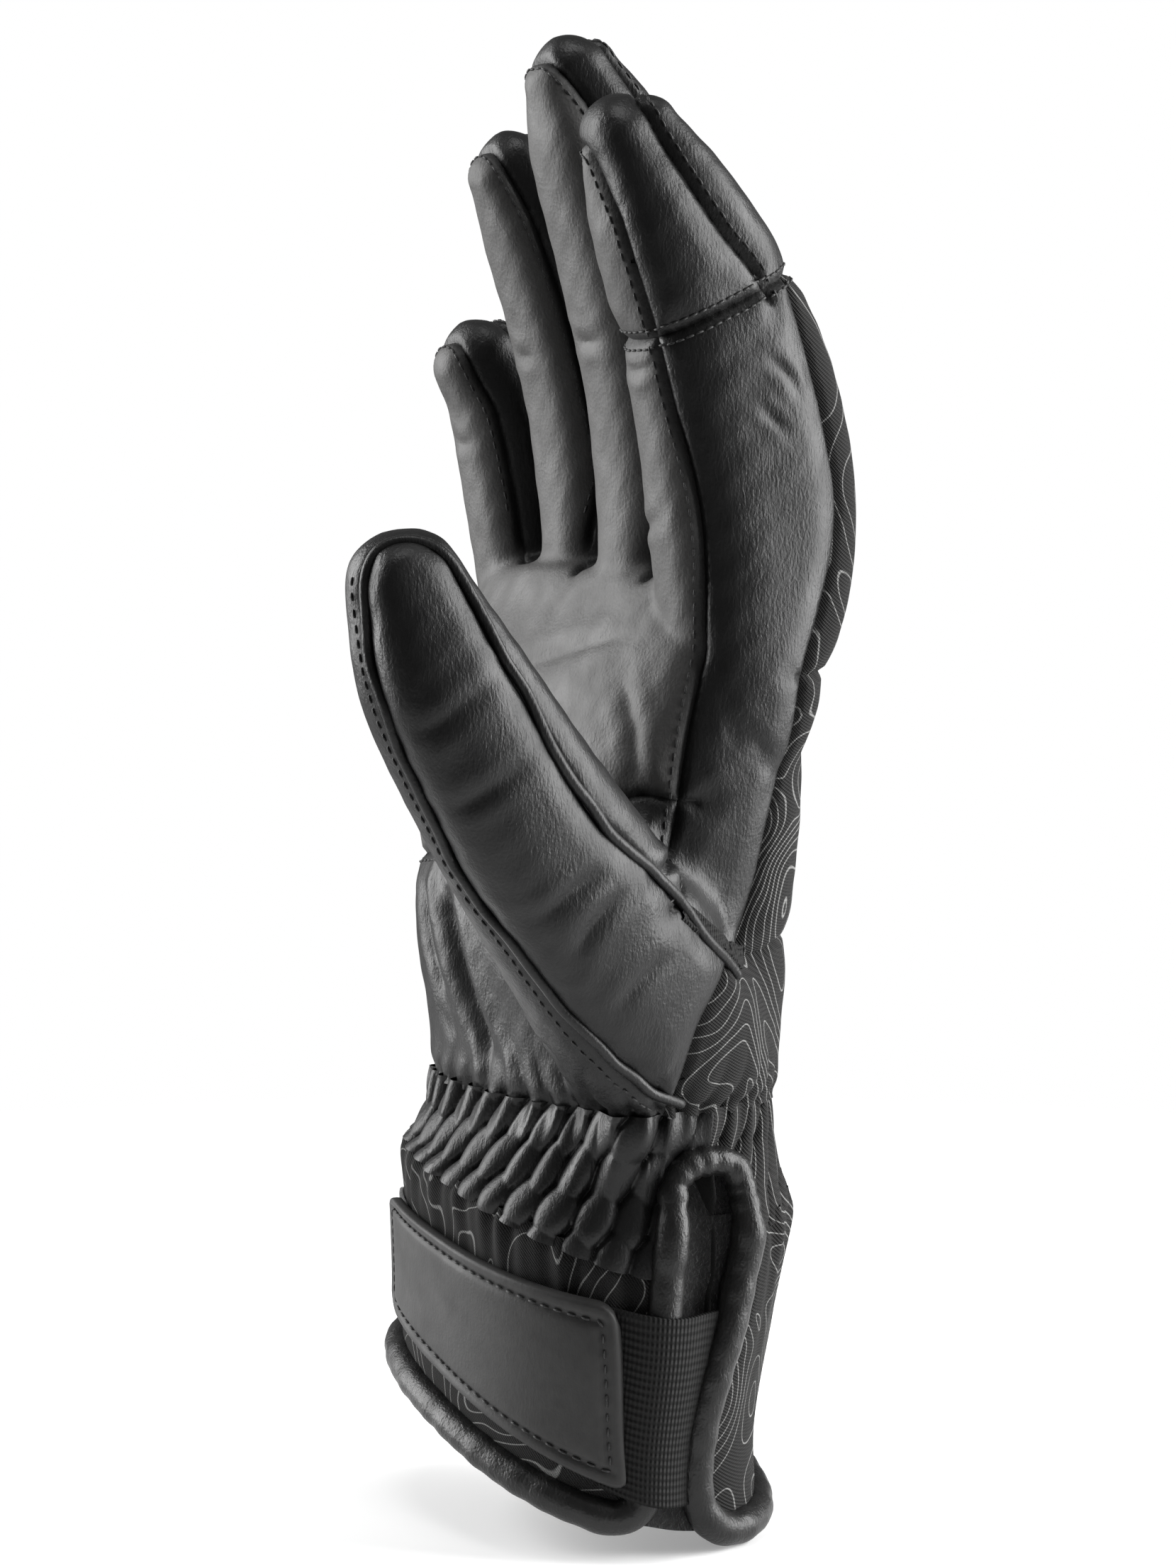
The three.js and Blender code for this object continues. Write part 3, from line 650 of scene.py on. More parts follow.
# Soft creases: two or three places, depth (negative is a ridge) and half width in millimetres.
CREASES = [
    ([(47, -20, 132), (40, -24, 130), (31, -26, 125)], 1.6, 2.2),
    ([(56, -20, 122), (50, -12, 125), (45, -9, 130)], 1.5, 1.8),
    ([(58, -26, 122), (55, -33, 116), (54, -36, 108)], 0.7, 2.6),
    ([(60, -30, 126), (58, -38, 122), (55, -45, 116)], 0.7, 2.4),
    ([(53, -14, 110), (53, -22, 104), (51, -27, 98)], 0.5, 2.4),
    ([(20, -26, 118), (26, -26, 104), (28, -25, 92)], 1.2, 3.0),
    ([(34, -28, 112), (36, -25, 100), (36, -22, 90)], 0.9, 2.6),
    ([(-15, -24, 116.5), (-9, -25, 105), (-4, -25, 94), (4, -24.5, 81)], 2.0, 3.4),
    ([(-25, -22, 117), (-21, -23, 104), (-14, -23.5, 89)], 1.1, 3.0),
    ([(-30, -18, 150), (0, -17, 160), (30, -13, 168)], 0.5, 3.0),
    ([(30, -15, 160), (38, -14, 148), (42, -16, 136)], 0.7, 2.6),
    ([(24, -2, 186), (32, -5, 184), (40, -4, 187)], 0.6, 2.0),
    ([(30, -8, 214), (38, -12, 212), (44, -8, 215)], 0.6, 1.8),
    ([(5, -7, 219), (12, -10, 217), (19, -6, 219)], 0.7, 2.0),
    ([(-20, -8, 216), (-13, -11, 214), (-7, -7, 216)], 0.6, 2.0),
    ([(-44, -7, 200), (-38, -10, 198), (-31, -7, 200)], 0.6, 1.8),
    ([(51, 5, 216), (51, 12, 212), (50.5, 17, 205)], 0.5, 1.6),
    ([(51, 4, 208), (51, 10, 203), (50.5, 15, 199)], 0.4, 1.4),
    ([(50, 2, 148), (49, 8, 144), (48, 13, 140)], 0.4, 2.2),
    ([(62, -52, 160), (60, -60, 156), (56, -66, 150)], 0.4, 2.6),
    ([(63, -46, 146), (60, -54, 142), (55, -60, 137)], 0.5, 2.4),
]


def gather_wave(points):
    """Height from 0 in a fold's crease to 1 on its crown, round the wrist."""
    turn = np.arctan2((points[:, 1] - 2) / 27, points[:, 0] / 38) / (2 * math.pi) + 0.5
    phase = turn * GATHERS + 0.25 * np.sin(points[:, 2] * 0.3 + turn * 20)
    return 1 - np.abs(2 * (phase % 1) - 1) ** 2.2


def undulation(points):
    """Slow unevenness of leather over wadding, in millimetres."""
    x, y, z = points.T
    return 0.5 * (0.18 * np.sin(x * 0.31 + 1.3 * np.sin(z * 0.11)) * np.sin(z * 0.23 + y * 0.17 + 1.0)
            + 0.12 * np.sin(x * 0.53 + z * 0.41 + 2.0) * np.sin(y * 0.47 - z * 0.29)
            + 0.07 * np.sin(x * 0.9 - z * 0.75 + y * 0.6))


def near_samples(verts, normals, rows, row_normals, reach):
    """Distance from each vertex to the nearest row that faces its way, up to reach."""
    tree = kd_tree(rows)
    low, high = rows.min(0) - reach, rows.max(0) + reach
    distance = np.full(len(verts), float(reach))
    for i in np.flatnonzero(((verts > low) & (verts < high)).all(1)):
        _, k, d = tree.find(verts[i].tolist())
        if d < reach and normals[i] @ row_normals[k] > 0.1:
            distance[i] = d
    return distance


def smooth_step(t):
    """From 0 to 1 with level ends, as t goes from 0 to 1."""
    t = np.clip(t, 0, 1)
    return t * t * (3 - 2 * t)


def shaped(verts, normals, seams, creases):
    """The skin's vertices moved along their normals: seams sunk, panels plump, creases, gathers.
    Also a painted shade factor, from 1 at a seam to 0 about 3 mm from it, that darkens the leather's colour
    beside seams."""
    rows = np.concatenate([s[0] for s in seams])
    row_normals = np.concatenate([s[2] for s in seams])
    near = near_samples(verts, normals, rows, row_normals, PILLOW_WIDTH)
    move = -PILLOW_HEIGHT * (1 - smooth_step(near / PILLOW_WIDTH) ** 0.6)
    move -= GROOVE_DEPTH * np.maximum(0, 1 - near / GROOVE_WIDTH) ** 1.4
    for (line, _, line_normals), (_, depth, width) in zip(creases, CREASES):
        reach = 3 * width
        distance = near_samples(verts, normals, line, line_normals, reach)
        end = np.minimum(np.linalg.norm(verts - line[0], axis=1), np.linalg.norm(verts - line[-1], axis=1))
        fade = smooth_step(end / 8)
        sunk = np.exp(-(distance / (0.55 * width)) ** 2)
        raised = 0.35 * np.exp(-((distance - 1.5 * width) / (0.7 * width)) ** 2)
        move -= depth * fade * (sunk - raised) * (distance < reach)
    height = verts[:, 2] - PINCH_Z
    fold = np.exp(-np.maximum(height, 0) / 5)
    move += fold * (1.7 * gather_wave(verts) - 1.4)
    move -= 1.0 * np.exp(-(height / 2.0) ** 2)
    move += undulation(verts) * (near > 1)
    # The second value is painted shade beside the seams.
    return verts + normals * move[:, None], 1 - smooth_step((near - 0.3) / SHADE_WIDTH)


def panels_of(bm, seeds):
    """Panel number of every face: the seed place whose region of the skin, bounded by seams, holds it."""
    bm.faces.ensure_lookup_table()
    component = [-1] * len(bm.faces)
    sizes = []
    for first in bm.faces:
        if component[first.index] >= 0:
            continue
        label = len(sizes)
        component[first.index] = label
        stack = [first]
        size = 0
        while stack:
            face = stack.pop()
            size += 1
            for edge in face.edges:
                if edge.seam:
                    continue
                for other in edge.link_faces:
                    if component[other.index] < 0:
                        component[other.index] = label
                        stack.append(other)
        sizes.append(size)
    component = np.array(component)
    centres = np.array([tuple(f.calc_center_median()) for f in bm.faces])
    big = np.flatnonzero(np.array(sizes)[component] > SMALLEST_PANEL)
    tree = kd_tree(centres[big])
    panel_of_component = {}
    for number, seed in enumerate(seeds):
        label = component[big[tree.find(seed)[1]]]
        panel_of_component.setdefault(label, number)
    panel = np.array([panel_of_component.get(c, -1) for c in component])
    known = np.flatnonzero(panel >= 0)
    tree = kd_tree(centres[known])
    for i in np.flatnonzero(panel < 0):
        panel[i] = panel[known[tree.find(centres[i].tolist())[1]]]
    return panel, centres


# ---- Materials ----


def add_node(tree, kind, settings=None, **inputs):
    """A shader node. Inputs are sockets to link, or plain values, by name or, as i0 to i9, by number."""
    made = tree.nodes.new(kind)
    for key, value in (settings or {}).items():
        setattr(made, key, value)
    for key, value in inputs.items():
        numbered = key[0] == "i" and key[1:].isdigit()
        socket = made.inputs[int(key[1:]) if numbered else key.replace("_", " ")]
        if isinstance(value, bpy.types.NodeSocket):
            tree.links.new(value, socket)
        else:
            socket.default_value = value
    return made


def math_node(tree, operation, a, b=0.0, c=0.0, clamp=False):
    """The result of one sum on sockets or numbers."""
    settings = {"operation": operation, "use_clamp": clamp}
    return add_node(tree, "ShaderNodeMath", settings, i0=a, i1=b, i2=c).outputs[0]


def new_material(name, roughness, specular=0.5, sheen=0.0):
    """A material, its tree, its shader and the coordinates in millimetres kept by each piece."""
    material = bpy.data.materials.new(name)
    material.use_nodes = True
    tree = material.node_tree
    shader = tree.nodes["Principled BSDF"]
    shader.inputs["Roughness"].default_value = roughness
    shader.inputs["Specular IOR Level"].default_value = specular
    shader.inputs["Sheen Weight"].default_value = sheen
    shader.inputs["Sheen Roughness"].default_value = 0.5
    coordinates = add_node(tree, "ShaderNodeAttribute", {"attribute_name": "rest"}).outputs["Vector"]
    return material, tree, shader, coordinates


def noise(tree, coordinates, scale, detail=2.0, distortion=0.0):
    """A smooth random field, mostly between 0.3 and 0.7."""
    return add_node(tree, "ShaderNodeTexNoise", None, Vector=coordinates, Scale=scale, Detail=detail,
                    Distortion=distortion).outputs[0]


def remapped(tree, value, low, high, from_low=0.3, from_high=0.7):
    """The value stretched from one range to another and held inside it."""
    return add_node(tree, "ShaderNodeMapRange", None, Value=value, i1=from_low, i2=from_high, i3=low,
                    i4=high).outputs[0]


def tinted(tree, factor, dark, light):
    """A colour between two, by a factor. Each of the two is a socket or three numbers."""
    a, b = (end if isinstance(end, bpy.types.NodeSocket) else (*end, 1) for end in (dark, light))
    return add_node(tree, "ShaderNodeMix", {"data_type": "RGBA"}, i0=factor, i6=a, i7=b).outputs[2]


def bumped(tree, height, distance, under=None, strength=1.0):
    """A normal raised by a height of so many millimetres, over another normal if there is one."""
    bump = add_node(tree, "ShaderNodeBump", None, Height=height, Distance=distance * MM, Strength=strength)
    if under is not None:
        tree.links.new(under, bump.inputs["Normal"])
    return bump.outputs[0]


# Painted shade: leather beside a seam is darkened towards this near-black.
PAINTED_SEAM_SHADE_COLOUR = (0.004, 0.004, 0.004)
SEAM_SHADE = 0.9  # how far the painted shade darkens leather at a seam


def leather(name, dark, light, roughness, grain=0.6, relief=0.045, wrinkle=0.1, specular=0.3):
    """Dyed leather: pebbled grain, pores, fine wrinkles and uneven finish, with painted shade darkening it
    beside seams.
    """
    material, tree, shader, at = new_material(name, roughness, specular)
    drift = noise(tree, at, 0.35, 2.0)
    pebbles = add_node(tree, "ShaderNodeTexVoronoi", {"feature": "SMOOTH_F1"}, Vector=at, Scale=1 / grain,
                       Smoothness=0.4, Randomness=1.0).outputs["Distance"]
    fine = noise(tree, at, 3.2, 3.0)
    wrinkles = add_node(tree, "ShaderNodeTexNoise", {"noise_type": "RIDGED_MULTIFRACTAL"}, Vector=at,
                        Scale=0.22, Detail=3.0, Distortion=0.6).outputs[0]
    seam = add_node(tree, "ShaderNodeAttribute", {"attribute_name": "seam"}).outputs["Fac"]
    faces = tinted(tree, remapped(tree, drift, 0, 1), dark, light)
    # Painted shade: the colour is darkened towards near-black beside seams.
    shaded = tinted(tree, math_node(tree, "MULTIPLY", seam, SEAM_SHADE), faces, PAINTED_SEAM_SHADE_COLOUR)
    tree.links.new(shaded, shader.inputs["Base Color"])
    tree.links.new(remapped(tree, noise(tree, at, 0.12, 3.0), roughness - 0.06, roughness + 0.07),
                   shader.inputs["Roughness"])
    slanted = add_node(tree, "ShaderNodeMapping", None, Vector=at, Rotation=(0.4, 0.5, 0.3),
                       Scale=(1.1, 1.3, 0.45)).outputs[0]
    creases = noise(tree, slanted, 1.3, 2.0, 0.6)
    normal = bumped(tree, wrinkles, wrinkle, strength=0.6)
    normal = bumped(tree, creases, wrinkle * 1.3, normal)
    normal = bumped(tree, pebbles, relief, normal)
    tree.links.new(bumped(tree, fine, relief * 0.6, normal), shader.inputs["Normal"])
    return material


CONTOUR_SCALE = 0.022
CONTOUR_LINES = 30
CONTOUR_HALF_WIDTH = 0.1
CONTOUR_COLOUR = (0.19, 0.19, 0.186)
FLATTEST = 0.0015  # slope of the field below which a line gets no wider


def contour_lines(tree, at):
    """Height lines of a smooth field, of even width: 1 on a line."""
    probe = 0.4
    warped = [noise(tree, at, CONTOUR_SCALE, 1.6, 0.5)]
    for axis in range(3):
        step = [0.0, 0.0, 0.0]
        step[axis] = probe
        moved = add_node(tree, "ShaderNodeVectorMath", {"operation": "ADD"}, i0=at, i1=step).outputs[0]
        warped.append(noise(tree, moved, CONTOUR_SCALE, 1.6, 0.5))
    squares = None
    for value in warped[1:]:
        slope = math_node(tree, "SUBTRACT", value, warped[0])
        square = math_node(tree, "MULTIPLY", slope, slope)
        squares = square if squares is None else math_node(tree, "ADD", squares, square)
    slope = math_node(tree, "DIVIDE", math_node(tree, "SQRT", squares), probe)
    slope = math_node(tree, "MAXIMUM", slope, FLATTEST)
    phase = math_node(tree, "FRACT", math_node(tree, "MULTIPLY", warped[0], CONTOUR_LINES))
    off = math_node(tree, "ABSOLUTE", math_node(tree, "SUBTRACT", phase, 0.5))
    distance = math_node(tree, "DIVIDE", off, math_node(tree, "MULTIPLY", slope, CONTOUR_LINES))
    return remapped(tree, distance, 1, 0, CONTOUR_HALF_WIDTH * 0.6, CONTOUR_HALF_WIDTH * 1.5)


def printed_fabric(name):
    """Charcoal twill printed with pale contour lines."""
    material, tree, shader, at = new_material(name, 0.85, 0.2, 0.0)
    split = add_node(tree, "ShaderNodeSeparateXYZ", None, Vector=at).outputs
    run = math_node(tree, "ADD", split[0], math_node(tree, "MULTIPLY", split[1], 0.9))
    twill = math_node(tree, "SINE", math_node(tree, "MULTIPLY", math_node(tree, "ADD", run, split[2]), 8.5))
    across = math_node(tree, "SUBTRACT", run, split[2])
    across = math_node(tree, "SINE", math_node(tree, "MULTIPLY", across, 13.0))
    weave = math_node(tree, "ADD", twill, math_node(tree, "MULTIPLY", across, 0.5))
    threads = remapped(tree, weave, 0, 1, -1.4, 1.4)
    cloth = tinted(tree, threads, (0.007, 0.0069, 0.0068), (0.017, 0.0167, 0.0164))
    lines = math_node(tree, "MULTIPLY", contour_lines(tree, at), 0.85)
    tree.links.new(tinted(tree, lines, cloth, CONTOUR_COLOUR), shader.inputs["Base Color"])
    tree.links.new(bumped(tree, weave, 0.07), shader.inputs["Normal"])
    return material


def webbing(name):
    """Ribbed elastic tape: ribs across the strap with a fine thread between them."""
    material, tree, shader, at = new_material(name, 0.75, 0.2, 0.0)
    split = add_node(tree, "ShaderNodeSeparateXYZ", None, Vector=at).outputs
    ribs = math_node(tree, "SINE", math_node(tree, "MULTIPLY", split[2], 5.2))
    threads = math_node(tree, "SINE", math_node(tree, "MULTIPLY", split[1], 9.0))
    weave = math_node(tree, "ADD", ribs, math_node(tree, "MULTIPLY", threads, 0.6))
    raised = remapped(tree, weave, 0, 1, -1.4, 1.4)
    tree.links.new(tinted(tree, raised, (0.003, 0.003, 0.003), (0.009, 0.009, 0.0088)),
                   shader.inputs["Base Color"])
    tree.links.new(bumped(tree, weave, 0.14), shader.inputs["Normal"])
    return material


def fleece(name, dark, light, pile=1.1, relief=0.5):
    """Brushed cloth or the fuzzy half of a hook-and-loop tape."""
    material, tree, shader, at = new_material(name, 0.95, 0.2, 0.5)
    tufts = noise(tree, at, pile, 4.0, 0.8)
    tree.links.new(tinted(tree, remapped(tree, tufts, 0, 1), dark, light), shader.inputs["Base Color"])
    tree.links.new(bumped(tree, tufts, relief), shader.inputs["Normal"])
    return material


def thread(name):
    """Twisted polyester sewing thread."""
    material, tree, shader, at = new_material(name, 0.6, 0.4)
    twist = noise(tree, at, 4.0, 1.0)
    tree.links.new(tinted(tree, remapped(tree, twist, 0, 1), (0.008, 0.008, 0.008), (0.022, 0.022, 0.022)),
                   shader.inputs["Base Color"])
    tree.links.new(bumped(tree, twist, 0.05), shader.inputs["Normal"])
    return material


LEATHER = leather("leather", (0.0055, 0.0055, 0.0057), (0.0075, 0.0075, 0.0075), 0.42,
                  relief=0.032, wrinkle=0.085, specular=0.28)
# The palm's leather is the black leather made lighter in colour: the lighter tone is painted sheen standing
# in for grazing light.
PALM_LEATHER_PAINTED_SHEEN = leather("palm leather painted sheen", (0.046, 0.045, 0.044), (0.054, 0.053, 0.052), 0.57,
                       grain=0.7, wrinkle=0.06, specular=0.38)
BINDING_LEATHER = leather("rolled binding", (0.007, 0.007, 0.007), (0.01, 0.0098, 0.0096), 0.38)
TAB_LEATHER = leather("tab facing", (0.019, 0.0187, 0.0185), (0.025, 0.0246, 0.0242), 0.55, grain=0.5,
                      relief=0.015, wrinkle=0.03)
FABRIC = printed_fabric("printed twill")
WEBBING = webbing("elastic webbing")
# The cloth behind the slit is black, and is darkened further, below the black leather, as painted shade of
# the slit.
GUSSET_CLOTH_PAINTED_SHADE = fleece("gusset cloth painted shade", (0.002, 0.002, 0.002), (0.004, 0.004, 0.004), 2.5, 0.1)
FLEECE = fleece("fleece lining", (0.012, 0.012, 0.012), (0.03, 0.03, 0.03))
HOOKS = fleece("hook and loop", (0.006, 0.006, 0.006), (0.018, 0.018, 0.018), 2.2, 0.3)
THREAD = thread("sewing thread")


# ---- The hand's pieces ----

# Panel, kind, and a place on it.
PANELS = [
    ("palm", "palm", (0, -18, 145)), ("heel", "leather", (0, -24, 100)),
    ("index cap palm", "palm", (36, -20, 243)),
    ("sides", "leather", (-48, 6, 140)), ("index cap side", "leather", (48.5, -8, 238)),
    ("index cap back", "leather", (44, 5, 244)), ("index gusset", "leather", (51, 5, 180)),
    ("thumb", "leather", (64, -58, 160)), ("knuckles", "knuckle", (0, 30, 175)),
    ("back", "fabric", (0, 30, 130)), ("lower back", "fabric", (0, 30, 90)),
    ("middle cap", "leather", (12, 4, 258)), ("ring cap", "leather", (-13, 5, 245)),
    ("little cap", "leather", (-38, 8, 215)),
]
# The palm panels take the lighter leather, whose lighter colour is painted sheen.
KINDS = {"palm": (PALM_LEATHER_PAINTED_SHEEN, "leather_light"), "leather": (LEATHER, "leather"),
         "fabric": (FABRIC, "fabric"), "knuckle": (FABRIC, "fabric")}
CAP_HEIGHT = {"middle": 236, "ring": 224, "little": 203}
STITCH_PITCH, STITCH_LENGTH, STITCH_RADIUS = 2.5, 1.7, 0.24
# A stitch's sections: place as a share of its length, size and height as shares of its radius.
STITCH_SECTIONS = [(-0.5, 0.3, -0.5), (-0.38, 0.9, 0.15), (0, 1, 0.5), (0.38, 0.9, 0.15), (0.5, 0.3, -0.5)]
# Stitch rows: seam, distance to its side, share of the seam where they begin, pitch.
STITCH_ROWS = [
    ("palm", -1.7, 0, STITCH_PITCH), ("band", 1.4, 0, 2.2), ("band", -1.4, 0, 2.2),
    ("thumb", -3.2, 0.5, STITCH_PITCH), ("back", 1.7, 0, STITCH_PITCH),
    ("heel seam", 1.6, 0.35, STITCH_PITCH),
]
STITCH_ROWS += [(name + " cap", 1.5, 0, STITCH_PITCH) for name in CAP_HEIGHT]
CROTCH_LEVELS = (165, 184)  # where the seams turn between two fingers
CROTCH_HALF = 5  # no stitches this near the middle of the gap between two fingers


def cap_seam(name):
    """Seam across the back of a finger under its leather cap."""
    height = CAP_HEIGHT[name]
    centre, _, across, back, half = spine_frames(FINGERS[name])
    i = int(np.abs(centre[:, 2] - height).argmin())
    return [centre[i] + across[i] * (u * half[i, 0]) + back[i] * (v * half[i, 1])
            for u, v in ((-0.86, 0.55), (-0.5, 0.95), (0, 1), (0.5, 0.95), (0.86, 0.55))]


def seam_lines(tree):
    """Every seam of the skin by name, laid on it. The index finger's band is on it already."""
    lines = {
        "palm": outline(-1) + INDEX_PALM_TOP + INDEX_SIDE, "back": outline(1) + INDEX_BACK_TOP + INDEX_RIDGE,
        "band": index_band(tree), "gusset back": GUSSET_BACK, "gusset foot": GUSSET_FOOT,
        "thumb": THUMB_EDGE, "thumb corner": THUMB_CORNER,
        "heel seam": HEEL_SEAM, "back seam": BACK_SEAM, "knuckle seam": KNUCKLE_SEAM,
    }
    lines.update({name + " cap": cap_seam(name) for name in CAP_HEIGHT})
    return {name: draped(tree, places, rounds=0 if name == "band" else 2) for name, places in lines.items()}


def split_by_zone(name, verts, faces, zone, material, corners=None, seam=None):
    """One piece for each zone that has faces."""
    made = {}
    for z in np.unique(zone):
        chosen = np.flatnonzero(zone == z)
        part_verts, part_faces, used = subset(verts, faces, chosen)
        normals = None if corners is None else corners_of(corners, chosen)[0]
        piece = new_piece(f"{ZONES[z]}_{name}", part_verts, part_faces, material, normals,
                          seam=None if seam is None else seam[used])
        place(piece, ZONES[z])
        made[ZONES[z]] = piece
    return made


def stitch_row(tree, seam, offset, first, pitch):
    """Centres, directions and normals of stitches beside a seam, on the finished surface."""
    rows, along, normals = seam
    side = unit(np.cross(normals, along))
    every = round(pitch / SEAM_STEP)
    out = []
    for i in range(int(first * (len(rows) - 1)) + every, len(rows) - 1, every):
        in_crotch = np.abs(rows[i][0] - np.array(FINGER_EDGES)).min() < CROTCH_HALF
        if in_crotch and CROTCH_LEVELS[0] < rows[i][2] < CROTCH_LEVELS[1]:
            continue
        hit, normal, _, distance = tree.find_nearest(Vector(rows[i] + side[i] * offset))
        if hit is not None and distance < 4:
            out.append((np.array(hit), along[i], np.array(normal)))
    return out


def stitch_mesh(stitches):
    """Points, faces and stitch numbers of small rounded stitches lying on a surface."""
    verts, faces, owner = [], [], []
    radius, length, sides = STITCH_RADIUS, STITCH_LENGTH, 6
    size = (len(STITCH_SECTIONS), sides)
    one = grid_faces(*size, closed=True) + end_caps(*size)
    for number, (place_, along, normal) in enumerate(stitches):
        side = unit(np.cross(along, normal))
        base = len(verts)
        for f, scale, lift in STITCH_SECTIONS:
            for t in np.arange(sides) * 2 * math.pi / sides:
                verts.append(place_ + along * (f * length) + normal * (radius * (lift + math.sin(t) * scale))
                             + side * (radius * math.cos(t) * scale))
        faces += [tuple(v + base for v in f) for f in one]
        owner += [number] * len(one)
    return np.array(verts), faces, np.array(owner)


def welt(tree, seam, radius=1.0, lift=0.4):
    """Piping along a seam, on the finished surface."""
    rows, _, normals = seam
    hits = [tree.find_nearest(Vector(p)) for p in rows]
    path = np.array([np.array(h[0]) + n * lift for h, n in zip(hits, normals)])
    path = averaged(averaged(path, 13), 13)
    return tube_mesh(path[::2], normals[::2], radius, 12)


def tape(tree, seam, half=2.1, lift=0.5):
    """A ribbed tape laid over a seam, with its edges down on the surface."""
    rows, along, normals = seam
    side = unit(np.cross(normals, along))
    places = []
    for across in np.linspace(-1, 1, 9):
        line = rows + side * (across * half)
        hits = np.array([tuple(tree.find_nearest(Vector(p))[0]) for p in line])
        places.append(hits + normals * (lift if abs(across) < 0.9 else -0.3))
    return np.concatenate(places), grid_faces(len(places), len(rows))


def cut_skin(verts, quads, seams):
    """The skin above the wrist, cut along every seam: points, normals, faces, their middles and panels."""
    kept = quads[(verts[quads][:, :, 2] > SKIN_BOTTOM).all(1)]
    bm = bmesh.new()
    bm.from_mesh(quads_mesh("skin", verts, kept))
    loose = [v for v in bm.verts if not v.link_faces]
    bmesh.ops.delete(bm, geom=loose, context="VERTS")
    for name, seam in seams.items():
        if name == "band":
            overlap = len(seam[0]) * 2 // 3
            cut_along(bm, [rows[:overlap] for rows in seam])
            cut_along(bm, [rows[-overlap:] for rows in seam])
        else:
            cut_along(bm, seam)
    bm.verts.index_update()
    bm.faces.index_update()
    panel, centres = panels_of(bm, [seed for _, _, seed in PANELS])
    points = np.array([tuple(v.co) for v in bm.verts])
    bm.normal_update()
    normals = np.array([tuple(v.normal) for v in bm.verts])
    faces = [tuple(v.index for v in f.verts) for f in bm.faces]
    bm.free()
    return points, normals, faces, centres, panel


def skin_pieces(verts, faces, zone, panel, painted_seam_shade):
    """The skin's pieces by zone and kind of material."""
    corners = smooth_normals(verts, faces, panel)
    pieces = {}
    for kind, (material, slot) in KINDS.items():
        wanted = [i for i, p in enumerate(PANELS) if p[1] == kind]
        chosen = np.flatnonzero(np.isin(panel, wanted))
        part = [faces[i] for i in chosen]
        # The pieces carry the painted shade that darkens the leather beside seams.
        made = split_by_zone(kind, verts, part, zone[chosen], material, corners_of(corners, chosen),
                             painted_seam_shade)
        pieces.update({(z, kind): piece for z, piece in made.items()})
    return pieces


def trim_hand(tree, seams):
    """Stitch rows, the thumb's piping and the tape at the gusset's foot, on the finished surface."""
    rows = []
    for name, offset, first, pitch in STITCH_ROWS:
        rows += stitch_row(tree, seams[name], offset, first, pitch)
    stitch_verts, stitch_faces, owner = stitch_mesh(rows)
    stitch_zone = zones_of(np.array([r[0] for r in rows]))[owner]
    split_by_zone("stitches", stitch_verts, stitch_faces, stitch_zone, THREAD)
    welt_verts, welt_faces = welt(tree, seams["thumb"])
    middle = np.array([welt_verts[list(f)].mean(0) for f in welt_faces])
    split_by_zone("piping", welt_verts, welt_faces, zones_of(middle), LEATHER)
    tape_verts, tape_faces = tape(tree, seams["gusset foot"])
    foot = new_piece("gusset_foot_tape", tape_verts, tape_faces, WEBBING)
    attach(foot, "hand")


def make_hand():
    """All pieces of the hand's skin with their stitches and piping. Returns them and the finished surface."""
    verts, quads = base_skin()
    smooth_tree = BVHTree.FromPolygons(verts.tolist(), quads.tolist())
    seams = seam_lines(smooth_tree)
    creases = [draped(smooth_tree, line) for line, _, _ in CREASES]
    points, normals, faces, centres, panel = cut_skin(verts, quads, seams)
    # The second value is painted shade, darkening the leather beside seams.
    final, painted_seam_shade = shaped(points, normals, list(seams.values()), creases)
    tree = BVHTree.FromPolygons(final.tolist(), faces)
    pieces = skin_pieces(final, faces, zones_of(centres), panel, painted_seam_shade)
    trim_hand(tree, seams)
    return pieces, tree


HAND_PIECES, SKIN_TREE = make_hand()


# ---- Cuff and wrist ----

# Sections: level, centre x and y, half width, half thickness, drops towards the thumb and the back, power.
CUFF = [
    (0, -2, -1.5, 40.5, 28.9, 0.3, 0.17, 2.4), (7, -2, -1.5, 41, 28.9, 0.3, 0.17, 2.4),
    (24, -1, -2, 40.9, 27.6, 0.27, 0.13, 2.4), (42, 0, -0.6, 42.3, 29.6, 0.2, 0.08, 2.4),
    (57, 0, 1.2, 41.5, 32.5, 0.12, 0.04, 2.4), (66, 0, 2, 38.5, 30, 0.06, 0, 2.5),
    (78, -0.5, 2.8, 38.5, 27.3, 0, 0, 2.8), (90, -0.5, 2.8, 38.5, 27.3, 0, 0, 2.8),
]
HEM = 10.0
BINDING = 3.3
BAND_TOP = 77
BAND_GAP = (-11.5, 10)  # angles between which the gathered band is open below the slit's top
LEATHER_END = -178  # angle of the side seam where the band's leather meets its fabric
# The slit's edges: level, angle.
SLIT_BACK = [(66, 9), (57, 11), (47, 9.5), (38, 5.5), (30, 3.2), (18, 2.2), (8, 3.0)]
SLIT_PALM = [(66, -9.5), (57, -10.5), (47, -11.5), (30, -12.5), (18, -12.5), (8, -12.5)]
SLIT_TOP = 66.5
CORNER = 8.5  # rounding of the flaps' corners
PUCKERS = 33  # round the wrist
PUCKER_ROW = 6.6  # distance between rows
PUCKER_HEIGHTS = (2.7, 1.4)  # in the leather and in the fabric
PUCKER_TOP = 73.5
LINING_INSET = 3.4
HAND_LINING = 62  # length of the lining past the wrist
WRIST_Y = 2.6  # the wrist's middle
CUFF_LEVELS = np.linspace(CUFF[0][0], CUFF[-1][0], 400)


def cuff_table():
    """The sections at CUFF_LEVELS, by a smooth curve through the table."""
    dense = catmull(CUFF, 600)
    return rows_at(CUFF_LEVELS, dense[:, 0], dense)


CUFF_TABLE = cuff_table()


